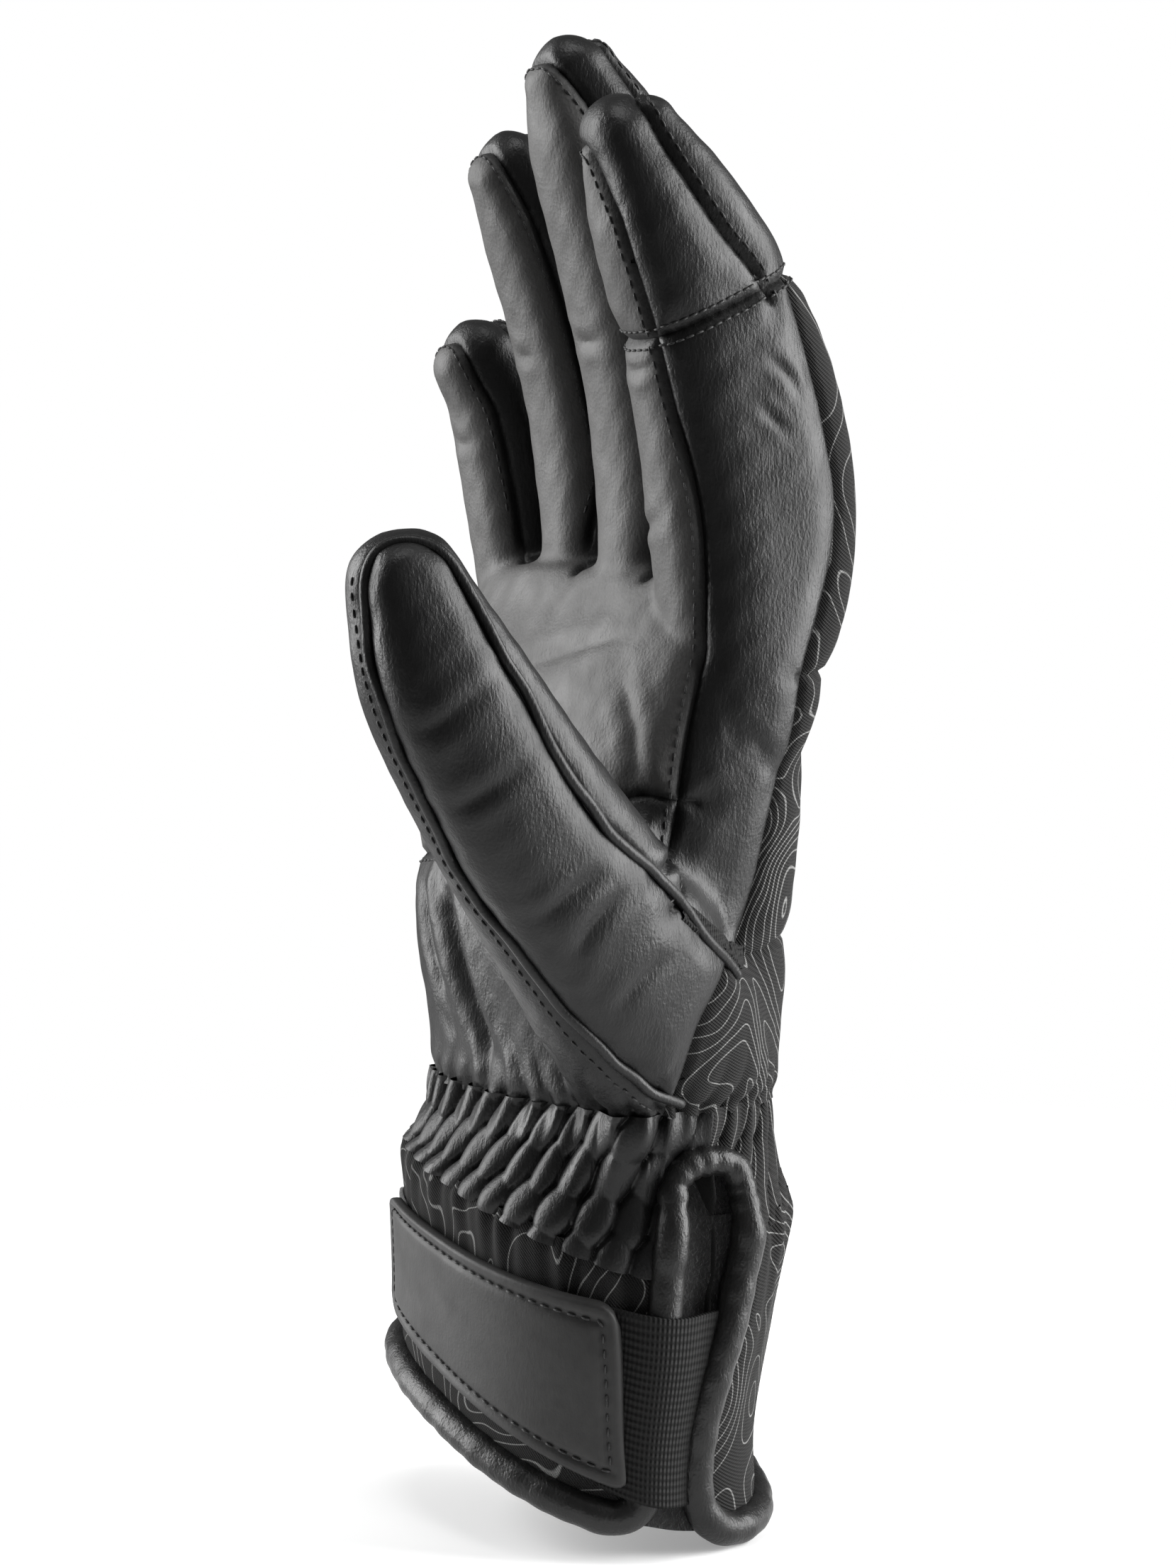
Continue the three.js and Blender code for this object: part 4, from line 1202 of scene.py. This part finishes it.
def cuff_point(angle, level, out=0.0):
    """Places on the cuff: angle in degrees (0 thumb side, 90 back, -90 palm), level, height above it."""
    angle, level, out = np.broadcast_arrays(np.radians(angle), level, out)
    section = (np.interp(level, CUFF_LEVELS, column) for column in CUFF_TABLE.T)
    _, cx, cy, a, b, drop_x, drop_y, power = section
    c, s = np.cos(angle), np.sin(angle)
    u, v = np.sign(c) * np.abs(c) ** (2 / power), np.sign(s) * np.abs(s) ** (2 / power)
    nx = np.sign(c) * np.abs(c) ** (2 - 2 / power) * b
    ny = np.sign(s) * np.abs(s) ** (2 - 2 / power) * a
    length = np.hypot(nx, ny)
    x, y = a * u + nx / length * out, b * v + ny / length * out
    return np.stack([cx + x, cy + y, level - drop_x * x - drop_y * y], -1)


def even_angles(first, last, count, level=30):
    """Angles evenly spaced by length round the cuff, and the length to each."""
    dense = np.linspace(first, last, 2000)
    run = run_along(cuff_point(dense, level))
    return np.interp(np.linspace(0, run[-1], count), run, dense), np.linspace(0, run[-1], count)


def slit_edge(table, level):
    """Angle of one edge of the slit at a level."""
    rows = sorted(table)
    return np.interp(level, [r[0] for r in rows], [r[1] for r in rows])


def band_bottom(angle):
    """Level of the gathered band's lower seam."""
    palm = np.interp(angle, [-180, -150, -100, -60, -20, 0], [64, 63, 60, 56, 52, 52])
    return np.where(angle < 0, palm, np.interp(angle, [0, 30, 90, 180], [56, 58, 62, 64]))


def corner_lift(run):
    """Height of the flaps' lower edge above the hem, rounded up at both ends of its run."""
    from_edge = np.minimum(run, run[-1] - run)
    fall = CORNER - np.sqrt(np.maximum(CORNER**2 - (CORNER - from_edge) ** 2, 0))
    return np.where(from_edge < CORNER, fall, 0)


def pleats(run, depth_below):
    """Folds of the fabric below the gathers, fading downwards."""
    folds = 0.6 * np.sin(run * 2 * math.pi / 7.5 + 1.3 * np.sin(run * 0.13))
    folds += 0.4 * np.sin(run * 2 * math.pi / 4.6)
    deep = np.exp(-np.maximum(depth_below, 0) / 9)
    slow = np.sin(run * 2 * math.pi / 31 + depth_below * 0.05)
    between = smooth_step(depth_below / 12) * smooth_step((40 - depth_below) / 12)
    return 1.2 * folds * deep + 0.5 * slow * between


def flaps():
    """The printed fabric of the cuff, from the back edge of the slit round to the palm edge."""
    columns, rows = 380, 74
    edge_back, edge_palm = slit_edge(SLIT_BACK, 30) + 0.3, slit_edge(SLIT_PALM, 30) + 360 - 0.3
    angle, run = even_angles(edge_back, edge_palm, columns)
    from_edge = np.minimum(run, run[-1] - run)
    signed = np.where(angle > 180, angle - 360, angle)
    top = band_bottom(signed) + 2.0
    bottom = HEM + corner_lift(run)
    t = np.linspace(0, 1, rows)[:, None]
    level = bottom + (top - bottom) * t
    shift = np.where(signed > 0, slit_edge(SLIT_BACK, level) - edge_back,
                     slit_edge(SLIT_PALM, level) - edge_palm + 360)
    near = np.exp(-((from_edge / 8) ** 2))
    below = top - level
    out = pleats(run, below) - 1.0 * np.exp(-((below / 2) ** 2)) + 0.5 * smooth_step((level - HEM) / 6)
    out = out - 0.6 * np.exp(-((from_edge / 3) ** 2))
    verts = cuff_point(angle + shift * near, level, out).reshape(-1, 3)
    faces = grid_faces(rows, columns)
    return new_piece("cuff_fabric", verts, faces, FABRIC)


def skin_section(tree, angle, level):
    """The hand skin's outline at the top of the gathered band."""
    out = []
    for p in cuff_point(angle, level):
        way = Vector((p[0], p[1] - WRIST_Y, 0)).normalized()
        hit = tree.ray_cast(Vector((p[0], p[1], level)) + way * 25, -way)[0]
        out.append(tuple(hit) if hit is not None else tuple(p))
    return np.array(out)


def puckers(turn, level):
    """Height from 0 to 1 of slanting leaf-shaped bulges, in rows that interlock, round the wrist."""
    row = (PUCKER_TOP - level) / PUCKER_ROW
    best = np.zeros(np.broadcast(turn, level).shape)
    for near in (-1, 0, 1):
        number = np.round(row) + near
        g = (row - number) / 0.85
        phase = turn * PUCKERS + 0.5 * (number % 2) + 0.3 * g + 0.05 * np.sin(turn * 47 + number * 2.1)
        f = phase % 1 - 0.5
        inside = np.maximum(1 - g * g, 0)
        width = 0.53 * inside**0.6 + 1e-6
        size = 1 + 0.1 * np.sin(np.floor(phase) * 2.4 + number * 1.7)
        best = np.maximum(best, size * inside**0.35 * np.maximum(1 - (f / width) ** 2, 0) ** 0.5)
    return best


def gathered_band(tree):
    """Rows of puckers round the wrist: leather on the palm side, fabric on the back."""
    columns, rows = 760, 80
    angle, run = even_angles(-180, 180, columns + 1, 66)
    angle, run = angle[:-1], run[:-1]
    skin = skin_section(tree, angle, PINCH_Z + 0.3)
    top = cuff_point(angle, BAND_TOP)
    inset = np.subtract(*(np.linalg.norm(ring[:, :2] - [0, WRIST_Y], axis=1) for ring in (skin, top)))
    inset = np.convolve(np.concatenate([inset[-4:], inset, inset[:4]]), np.ones(9) / 9, "valid")
    bottom = band_bottom(angle)
    t = np.linspace(0, 1, rows)[:, None]
    level = bottom + (BAND_TOP - bottom) * t
    palm = smooth_step((2 - np.abs(angle + 96) + 88) / 14)
    height = PUCKER_HEIGHTS[0] * palm + PUCKER_HEIGHTS[1] * (1 - palm)
    crown = puckers(run / run[-1], level)
    out = height * crown - 1.1 + inset * smooth_step((level - 60) / 16)
    verts = cuff_point(angle, level, out).reshape(-1, 3)
    faces = grid_faces(rows, columns, closed=True)
    first = np.array([f[0] for f in faces])
    face_angle = angle[first % columns]
    slit = (face_angle > BAND_GAP[0]) & (face_angle < BAND_GAP[1]) & (level.reshape(-1)[first] < SLIT_TOP)
    leather_side = (face_angle < 0) & (face_angle > LEATHER_END)
    corners = smooth_normals(verts, faces)
    made = []
    for name, chosen, material, slot in (("palm_gathers", leather_side & ~slit, LEATHER, "leather"),
                                         ("back_gathers", ~leather_side & ~slit, FABRIC, "fabric")):
        index = np.flatnonzero(chosen)
        part_verts, part_faces, _ = subset(verts, faces, index)
        normals, _, _ = corners_of(corners, index)
        piece = place(new_piece(name, part_verts, part_faces, material, normals), "wrist")
        made.append(piece)
    return made


def binding_path():
    """The rolled edge's line: down the back side of the slit, round the hem and up its palm side."""
    back_levels = np.linspace(SLIT_TOP - 2, HEM + CORNER, 40)
    down = [(slit_edge(SLIT_BACK, level), level) for level in back_levels]
    up = [(slit_edge(SLIT_PALM, level) + 360, level) for level in back_levels[::-1]]
    angle, run = even_angles(down[-1][0], up[0][0], 420, HEM)
    hem = list(zip(angle[1:-1], (HEM + corner_lift(run))[1:-1]))
    arch = []
    a0, a1 = up[-1][0] - 360, down[0][0]
    for t in np.linspace(math.pi, 0, 16)[1:-1]:
        arch.append(((a0 + a1) / 2 + (a1 - a0) / 2 * math.cos(t), SLIT_TOP - 2 + 4.5 * math.sin(t)))
    return np.array(down + hem + up + [(a + 360, level) for a, level in arch])


def cuff_binding():
    """One rolled leather edge all round the cuff fabric."""
    rows = binding_path()
    lift = 0.4 + 2.2 * smooth_step((rows[:, 1] - 50) / 12)
    path = cuff_point(rows[:, 0], rows[:, 1], lift)
    outward = unit(cuff_point(rows[:, 0], rows[:, 1], lift + 1) - path)
    run = run_along(path)
    even = np.arange(0, run[-1], 0.7)
    path, outward = rows_at(even, run, path), unit(rows_at(even, run, outward))
    level = np.interp(even, run, rows[:, 1])
    for _ in range(6):
        path = (np.roll(path, 1, 0) + 2 * path + np.roll(path, -1, 0)) / 4
    tight = smooth_step((level - 58) / 6)
    radius = BINDING * (1 - 0.12 * tight) + 0.12 * np.sin(even * 0.9) * np.sin(even * 0.23)
    radius -= tight * 0.3 * np.abs(np.sin(even * 0.85 + 0.8 * np.sin(even * 0.3))) ** 3
    verts, faces = tube_mesh(path, outward, radius, 26, closed=True)
    return new_piece("cuff_binding", verts, faces, BINDING_LEATHER)


def gusset():
    """Stretch cloth behind the slit, in two soft folds: black, and darkened further by painted shade of the
    slit's recess.
    """
    columns, rows = 60, 60
    angle = np.linspace(-24, 19, columns)[None]
    level = np.linspace(HEM - 1, SLIT_TOP + 5, rows)[:, None]
    out = -5.0 - 1.6 * np.cos((angle + 2.5) * 0.42) + 0.2 * np.sin(level * 0.5 + angle)
    verts = cuff_point(angle, level, out).reshape(-1, 3)
    return new_piece("slit_gusset_cloth", verts, grid_faces(rows, columns), GUSSET_CLOTH_PAINTED_SHADE)


def lining():
    """Fleece inside the cuff, the wrist and the hand, closed at its far end."""
    columns = 120
    angle, _ = even_angles(-180, 180, columns + 1)
    angle = angle[:-1]
    insets = np.concatenate([np.linspace(0.8, LINING_INSET, 5), np.full(25, LINING_INSET)])
    cuff_rows = [cuff_point(angle, level, -inset + 0.25 * np.sin(np.radians(angle) * 17 + level * 0.2))
                 for level, inset in zip(np.linspace(HEM - 0.5, 60, 30), insets)]
    levels = np.linspace(WRIST_BEND[0], WRIST_TOP, 12)
    waist = 2.5 * np.sin(math.pi * np.linspace(0, 1, 12))
    wrist_rows = [cuff_point(angle, level, -LINING_INSET - fall) for level, fall in zip(levels, waist)]
    hand_rows = [cuff_point(angle, WRIST_TOP, -LINING_INSET)]
    for t in np.linspace(0, 1, 16)[1:]:
        ring = hand_rows[0].copy()
        grow = 1 + 0.1 * t - 0.98 * smooth_step((t - 0.72) / 0.28)
        ring[:, 0] *= grow
        ring[:, 1] = WRIST_Y + (ring[:, 1] - WRIST_Y) * (grow - 0.25 * t * grow)
        ring[:, 2] = WRIST_TOP + HAND_LINING * t
        hand_rows.append(ring)
    made = []
    for zone, rings in (("cuff", cuff_rows), ("wrist", wrist_rows), ("hand", hand_rows)):
        verts = np.concatenate(rings)
        faces = [f[::-1] for f in grid_faces(len(rings), columns, closed=True)]
        piece = place(new_piece(zone + "_lining_fleece", verts, faces, FLEECE), zone)
        made.append(piece)
    return made


CUFF_FABRIC = flaps()
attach(CUFF_FABRIC, "cuff")
GATHER_PIECES = gathered_band(SKIN_TREE)
CUFF_EDGE = cuff_binding()
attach(CUFF_EDGE, "cuff")
GUSSET = gusset()
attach(GUSSET, "cuff")
LININGS = lining()


# ---- Wrist strap ----

STRAP_ENDS = (-121, -23)  # angles of the tab's ends
STRAP_EDGES = (16.5, 48)  # levels of its edges at the end near the slit
STRAP_LEAN = 4.0  # degrees by which that end leans
STRAP_TAPER = 4.5  # the tab is this much narrower at its far end
PLATE_ROWS = 70
ROUND_OVER = 0.9  # rounding of a pad's edges
TAB_OUT = (1.5, 3.5)  # heights of its two faces above the cuff
TAB_CORNERS = (6, 3.5)
HOOK_ENDS, HOOK_EDGES, HOOK_OUT = (-118, -60), (19, 45), (1.25, 1.75)
LOOP_ENDS, LOOP_EDGES, LOOP_OUT = (-136, -50), (18, 46), (0.3, 1.2)
ELASTIC_LEVELS = (15.5, 47)
# The elastic's height above the cuff by angle: it stands clear of the slit's bindings.
ELASTIC_ANGLES = [-30, -25, -20, -12, -5, 0, 5]
ELASTIC_HEIGHTS = [1.2, 2.0, 3.4, 4.7, 3.7, 1.7, 0.2]
ELASTIC_THICKNESS = 1.0
STITCH_INSET = 3.0


def strap_point(angle, level, out):
    """A place on the cuff for the strap's pieces, which lean near the slit and narrow at the far end."""
    share = np.clip((angle - STRAP_ENDS[0]) / (STRAP_ENDS[1] - STRAP_ENDS[0]), -0.2, 1)
    down = (STRAP_EDGES[1] - level) / (STRAP_EDGES[1] - STRAP_EDGES[0])
    lean = STRAP_LEAN * share * (2 * down - 1)
    return cuff_point(angle + lean, level + STRAP_TAPER * (1 - share) * down, out)


def solid_sheet(outer, inner, rows, columns):
    """Points and faces of a sheet between two grids of points, closed all round its edge."""
    faces = grid_faces(rows, columns)
    count = rows * columns
    last = (rows - 1) * columns
    rim = list(range(columns)) + [i * columns + columns - 1 for i in range(1, rows)]
    rim += [last + j for j in range(columns - 2, -1, -1)] + [i * columns for i in range(rows - 2, 0, -1)]
    skirt = [(rim[i], rim[i - 1], rim[i - 1] + count, rim[i] + count) for i in range(len(rim))]
    faces = faces + [tuple(v + count for v in f[::-1]) for f in faces] + skirt
    return np.concatenate([outer.reshape(-1, 3), inner.reshape(-1, 3)]), faces


def plate_mesh(angles, levels, low, high, corners, dent=None):
    """A pad between two angles and two levels of the cuff, with rounded corners and edges.
    corners are the roundings of its first and last end in millimetres. dent sinks a line this far in."""
    middle = (levels[0] + levels[1]) / 2
    angle, run = even_angles(*angles, max(40, int(abs(angles[1] - angles[0]) * 0.9)), middle)
    width, half = run[-1], (levels[1] - levels[0]) / 2
    from_start, from_end = run, width - run
    reach = np.full(len(run), half)
    for distance, corner in ((from_start, corners[0]), (from_end, corners[1])):
        inside = np.clip(corner - distance, 0, corner)
        reach = np.minimum(reach, half - corner + np.sqrt(np.maximum(corner**2 - inside**2, 0)))
    t = np.linspace(-1, 1, PLATE_ROWS)[:, None]
    t = np.sign(t) * (1 - (1 - np.abs(t)) ** 1.25)
    level = middle + t * reach
    edge = np.minimum(reach * (1 - np.abs(t)), np.minimum(from_start, from_end)[None] + 0 * t)
    rise = np.sqrt(np.maximum(1 - (1 - np.clip(edge / ROUND_OVER, 0, 1)) ** 2, 0))
    thick = high - low
    top = low + thick * (0.35 + 0.65 * rise)
    if dent is not None:
        top = top - 0.55 * np.exp(-(((edge - dent) / 0.7) ** 2)) + 0.15 * smooth_step((edge - dent) / 3)
    outer, inner = strap_point(angle, level, top), strap_point(angle, level, low + 0 * top)
    return solid_sheet(outer, inner, PLATE_ROWS, len(angle))


def edge_rows(angles, levels, inset, out, corners):
    """Places, directions and normals along a line inset from a pad's edge."""
    middle, half = (levels[0] + levels[1]) / 2, (levels[1] - levels[0]) / 2
    dense, run = even_angles(*angles, 400, middle)
    width = run[-1]
    outline_points = []
    for t in np.linspace(0, 2 * math.pi, 1200, endpoint=False):
        c, s = math.cos(t), math.sin(t)
        corner = corners[0] if c < 0 else corners[1]
        w, h = width / 2 - inset, half - inset
        r = max(corner - inset, 0.8)
        scale = min(w / max(abs(c), 1e-9), h / max(abs(s), 1e-9))
        x, y = c * scale, s * scale
        if abs(x) > w - r and abs(y) > h - r:
            dx, dy = abs(x) - (w - r), abs(y) - (h - r)
            length = math.hypot(dx, dy)
            x = math.copysign(w - r + dx / length * r, x)
            y = math.copysign(h - r + dy / length * r, y)
        outline_points.append((x + width / 2, y + middle))
    rows = np.array(outline_points)
    line = run_along(rows)
    rows = rows_at(np.arange(0, line[-1], SEAM_STEP), line, rows)
    angle = np.interp(rows[:, 0], run, dense)
    place_ = strap_point(angle, rows[:, 1], out)
    normal = unit(strap_point(angle, rows[:, 1], out + 1) - place_)
    return place_, unit(np.gradient(place_, axis=0)), normal


def strap_pieces():
    """The tab with its stitches, the hook tape under it and the loop tape on the cuff."""
    tab_mesh = plate_mesh(STRAP_ENDS, STRAP_EDGES, *TAB_OUT, TAB_CORNERS, dent=STITCH_INSET)
    tab = new_piece("strap_tab_leather", *tab_mesh, TAB_LEATHER)
    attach(tab, "strap")
    rows = edge_rows(STRAP_ENDS, STRAP_EDGES, STITCH_INSET, TAB_OUT[1] - 0.25, TAB_CORNERS)
    every = round(STITCH_PITCH / SEAM_STEP)
    stitches = [(p, along, normal) for p, along, normal in zip(*(r[::every] for r in rows))]
    stitch_verts, stitch_faces, _ = stitch_mesh(stitches)
    tab_stitches = new_piece("strap_tab_stitches", stitch_verts, stitch_faces, THREAD)
    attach(tab_stitches, "strap")
    hooks = new_piece("hook_tape", *plate_mesh(HOOK_ENDS, HOOK_EDGES, *HOOK_OUT, (5, 3)), HOOKS)
    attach(hooks, "strap")
    loops = new_piece("loop_tape", *plate_mesh(LOOP_ENDS, LOOP_EDGES, *LOOP_OUT, (3, 3)), HOOKS)
    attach(loops, "cuff")
    return tab, hooks, loops


def elastic():
    """Ribbed tape from under the tab over the slit's palm edge, to under its back edge."""
    columns, rows = 90, 60
    angle, run = even_angles(ELASTIC_ANGLES[0], ELASTIC_ANGLES[-1], columns)
    level = np.linspace(*ELASTIC_LEVELS, rows)[:, None]
    out = averaged(np.interp(angle, ELASTIC_ANGLES, ELASTIC_HEIGHTS), 17)
    outer = cuff_point(angle, level, out)
    inner = cuff_point(angle, level, out - ELASTIC_THICKNESS)
    verts, faces = solid_sheet(outer, inner, rows, columns)
    flat = np.stack([0 * level + angle, 0 * level + run, level + 0 * angle], -1).reshape(-1, 3)
    piece = new_piece("strap_elastic_tape", verts, faces, WEBBING, rest=np.concatenate([flat, flat]))
    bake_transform(piece)
    return piece


TAB, HOOK_TAPE, LOOP_TAPE = strap_pieces()
ELASTIC = elastic()


# ---- CAD nodes the pieces stand for, hidden ----


def replace_nodes():
    """Hides the CAD nodes that the pieces are the finished form of."""
    def first(zone, *kinds):
        return next(HAND_PIECES[(zone, kind)] for kind in kinds if (zone, kind) in HAND_PIECES)

    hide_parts("palm_panel", "palm_insulation")
    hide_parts("back_panel", "back_insulation")
    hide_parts("knuckle_pad")
    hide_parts("little_side_panel", "index_side_panel", "thumb_root")
    for name in FINGER_NAMES:
        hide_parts(name + "_base_palm")
        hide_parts(name + "_base_back")
        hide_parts(name + "_base_fourchette_little_side",
                    name + "_base_fourchette_thumb_side")
        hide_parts(name + "_tip_palm")
        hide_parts(name + "_tip_back", name + "_tip_fourchette")
    for name in ("thumb_base", "thumb_tip"):
        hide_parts(name + "_inner")
        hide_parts(name + "_outer")
    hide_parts("cuff_palm_flap", "cuff_back_flap")
    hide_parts("hem_binding_palm", "hem_binding_back", "slit_binding")
    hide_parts("slit_gusset")
    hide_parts("cuff_lining")
    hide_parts("hand_lining")
    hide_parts("wrist_sleeve", "wrist_elastic")
    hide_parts("strap_tab")
    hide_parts("strap_elastic")
    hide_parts("hook_patch")
    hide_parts("loop_patch")


replace_nodes()


# ---- Studio ----

CAMERA_TARGET = Vector((0, 0, 134)) * MM
CAMERA_DISTANCE = 0.8
CAMERA_AZIMUTH, CAMERA_ELEVATION = 60, 5
LENS = 96
FLOOR_RADIUS = 0.5
AMBIENT = 0.17
# Name, azimuth, elevation, distance, width and height, power.
LIGHTS = [
    ("key", -48, 16, 0.9, (0.6, 0.9), 17), ("rim", 150, 12, 0.9, (0.75, 1.0), 27),
    ("top", 60, 80, 0.9, (0.5, 0.3), 3),
]


def aimed(obj, spot, target):
    """The object put at a spot, facing a target."""
    obj.location = spot
    obj.rotation_euler = (Vector(target) - Vector(spot)).to_track_quat("-Z", "Y").to_euler()
    bpy.context.scene.collection.objects.link(obj)
    return obj


def around(azimuth, elevation, distance):
    """A place at an azimuth (0 looks along +Y) and elevation from the glove's middle."""
    a, e = math.radians(azimuth), math.radians(elevation)
    way = Vector((math.sin(a) * math.cos(e), -math.cos(a) * math.cos(e), math.sin(e)))
    return CAMERA_TARGET + way * distance


def area_light(name, azimuth, elevation, distance, size, power):
    """A soft box facing the glove."""
    light = bpy.data.lights.new(name, "AREA")
    light.shape = "RECTANGLE"
    light.size, light.size_y = size
    light.energy = power
    return aimed(bpy.data.objects.new(name, light), around(azimuth, elevation, distance), CAMERA_TARGET)


def floor_mesh():
    """A round floor under the glove."""
    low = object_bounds()[0][2]
    rings = np.linspace(0.02, FLOOR_RADIUS, 12)
    sides = 96
    turn = np.arange(sides) * 2 * math.pi / sides
    verts = [(r * math.cos(t), r * math.sin(t), low) for r in rings for t in turn]
    mesh = bpy.data.meshes.new("floor")
    faces = [face[::-1] for face in grid_faces(len(rings), sides, closed=True)]
    mesh.from_pydata(verts, [], faces + [tuple(range(sides))])
    return mesh


def floor_material():
    """Pale matt floor that fades into the white background towards its edge."""
    material = bpy.data.materials.new("floor")
    material.use_nodes = True
    tree = material.node_tree
    shader = tree.nodes["Principled BSDF"]
    shader.inputs["Base Color"].default_value = (0.8, 0.8, 0.8, 1)
    shader.inputs["Roughness"].default_value = 0.9
    shader.inputs["Specular IOR Level"].default_value = 0.1
    shader.inputs["Emission Color"].default_value = (1, 1, 1, 1)
    shader.inputs["Emission Strength"].default_value = 0.2
    at = add_node(tree, "ShaderNodeTexCoord").outputs["Object"]
    radius = add_node(tree, "ShaderNodeVectorMath", {"operation": "LENGTH"}, i0=at).outputs["Value"]
    fade = remapped(tree, radius, 1, 0, 0.12, FLOOR_RADIUS)
    below = add_node(tree, "ShaderNodeNewGeometry").outputs["Backfacing"]
    tree.links.new(math_node(tree, "SUBTRACT", fade, below, clamp=True), shader.inputs["Alpha"])
    return material


def world():
    """White to the camera, and a weak even light on the glove."""
    made = bpy.data.worlds.new("world")
    made.use_nodes = True
    tree = made.node_tree
    sky = tree.nodes["Background"]
    sky.inputs["Color"].default_value = (1, 1, 1, 1)
    seen = add_node(tree, "ShaderNodeLightPath").outputs["Is Camera Ray"]
    tree.links.new(remapped(tree, seen, AMBIENT, 1.0, 0, 1), sky.inputs["Strength"])
    return made


def studio():
    """Camera, lights, background and floor."""
    camera = bpy.data.cameras.new("camera")
    camera.lens = LENS
    camera.sensor_width = 36
    camera.clip_end = 20
    spot = around(CAMERA_AZIMUTH, CAMERA_ELEVATION, CAMERA_DISTANCE)
    bpy.context.scene.camera = aimed(bpy.data.objects.new("camera", camera), spot, CAMERA_TARGET)
    for light in LIGHTS:
        area_light(*light)
    bpy.context.scene.world = world()
    bpy.context.scene.view_settings.view_transform = "Standard"
    floor = floor_mesh()
    floor.materials.append(floor_material())
    floor_object = bpy.data.objects.new("floor", floor)
    bpy.context.scene.collection.objects.link(floor_object)


studio()
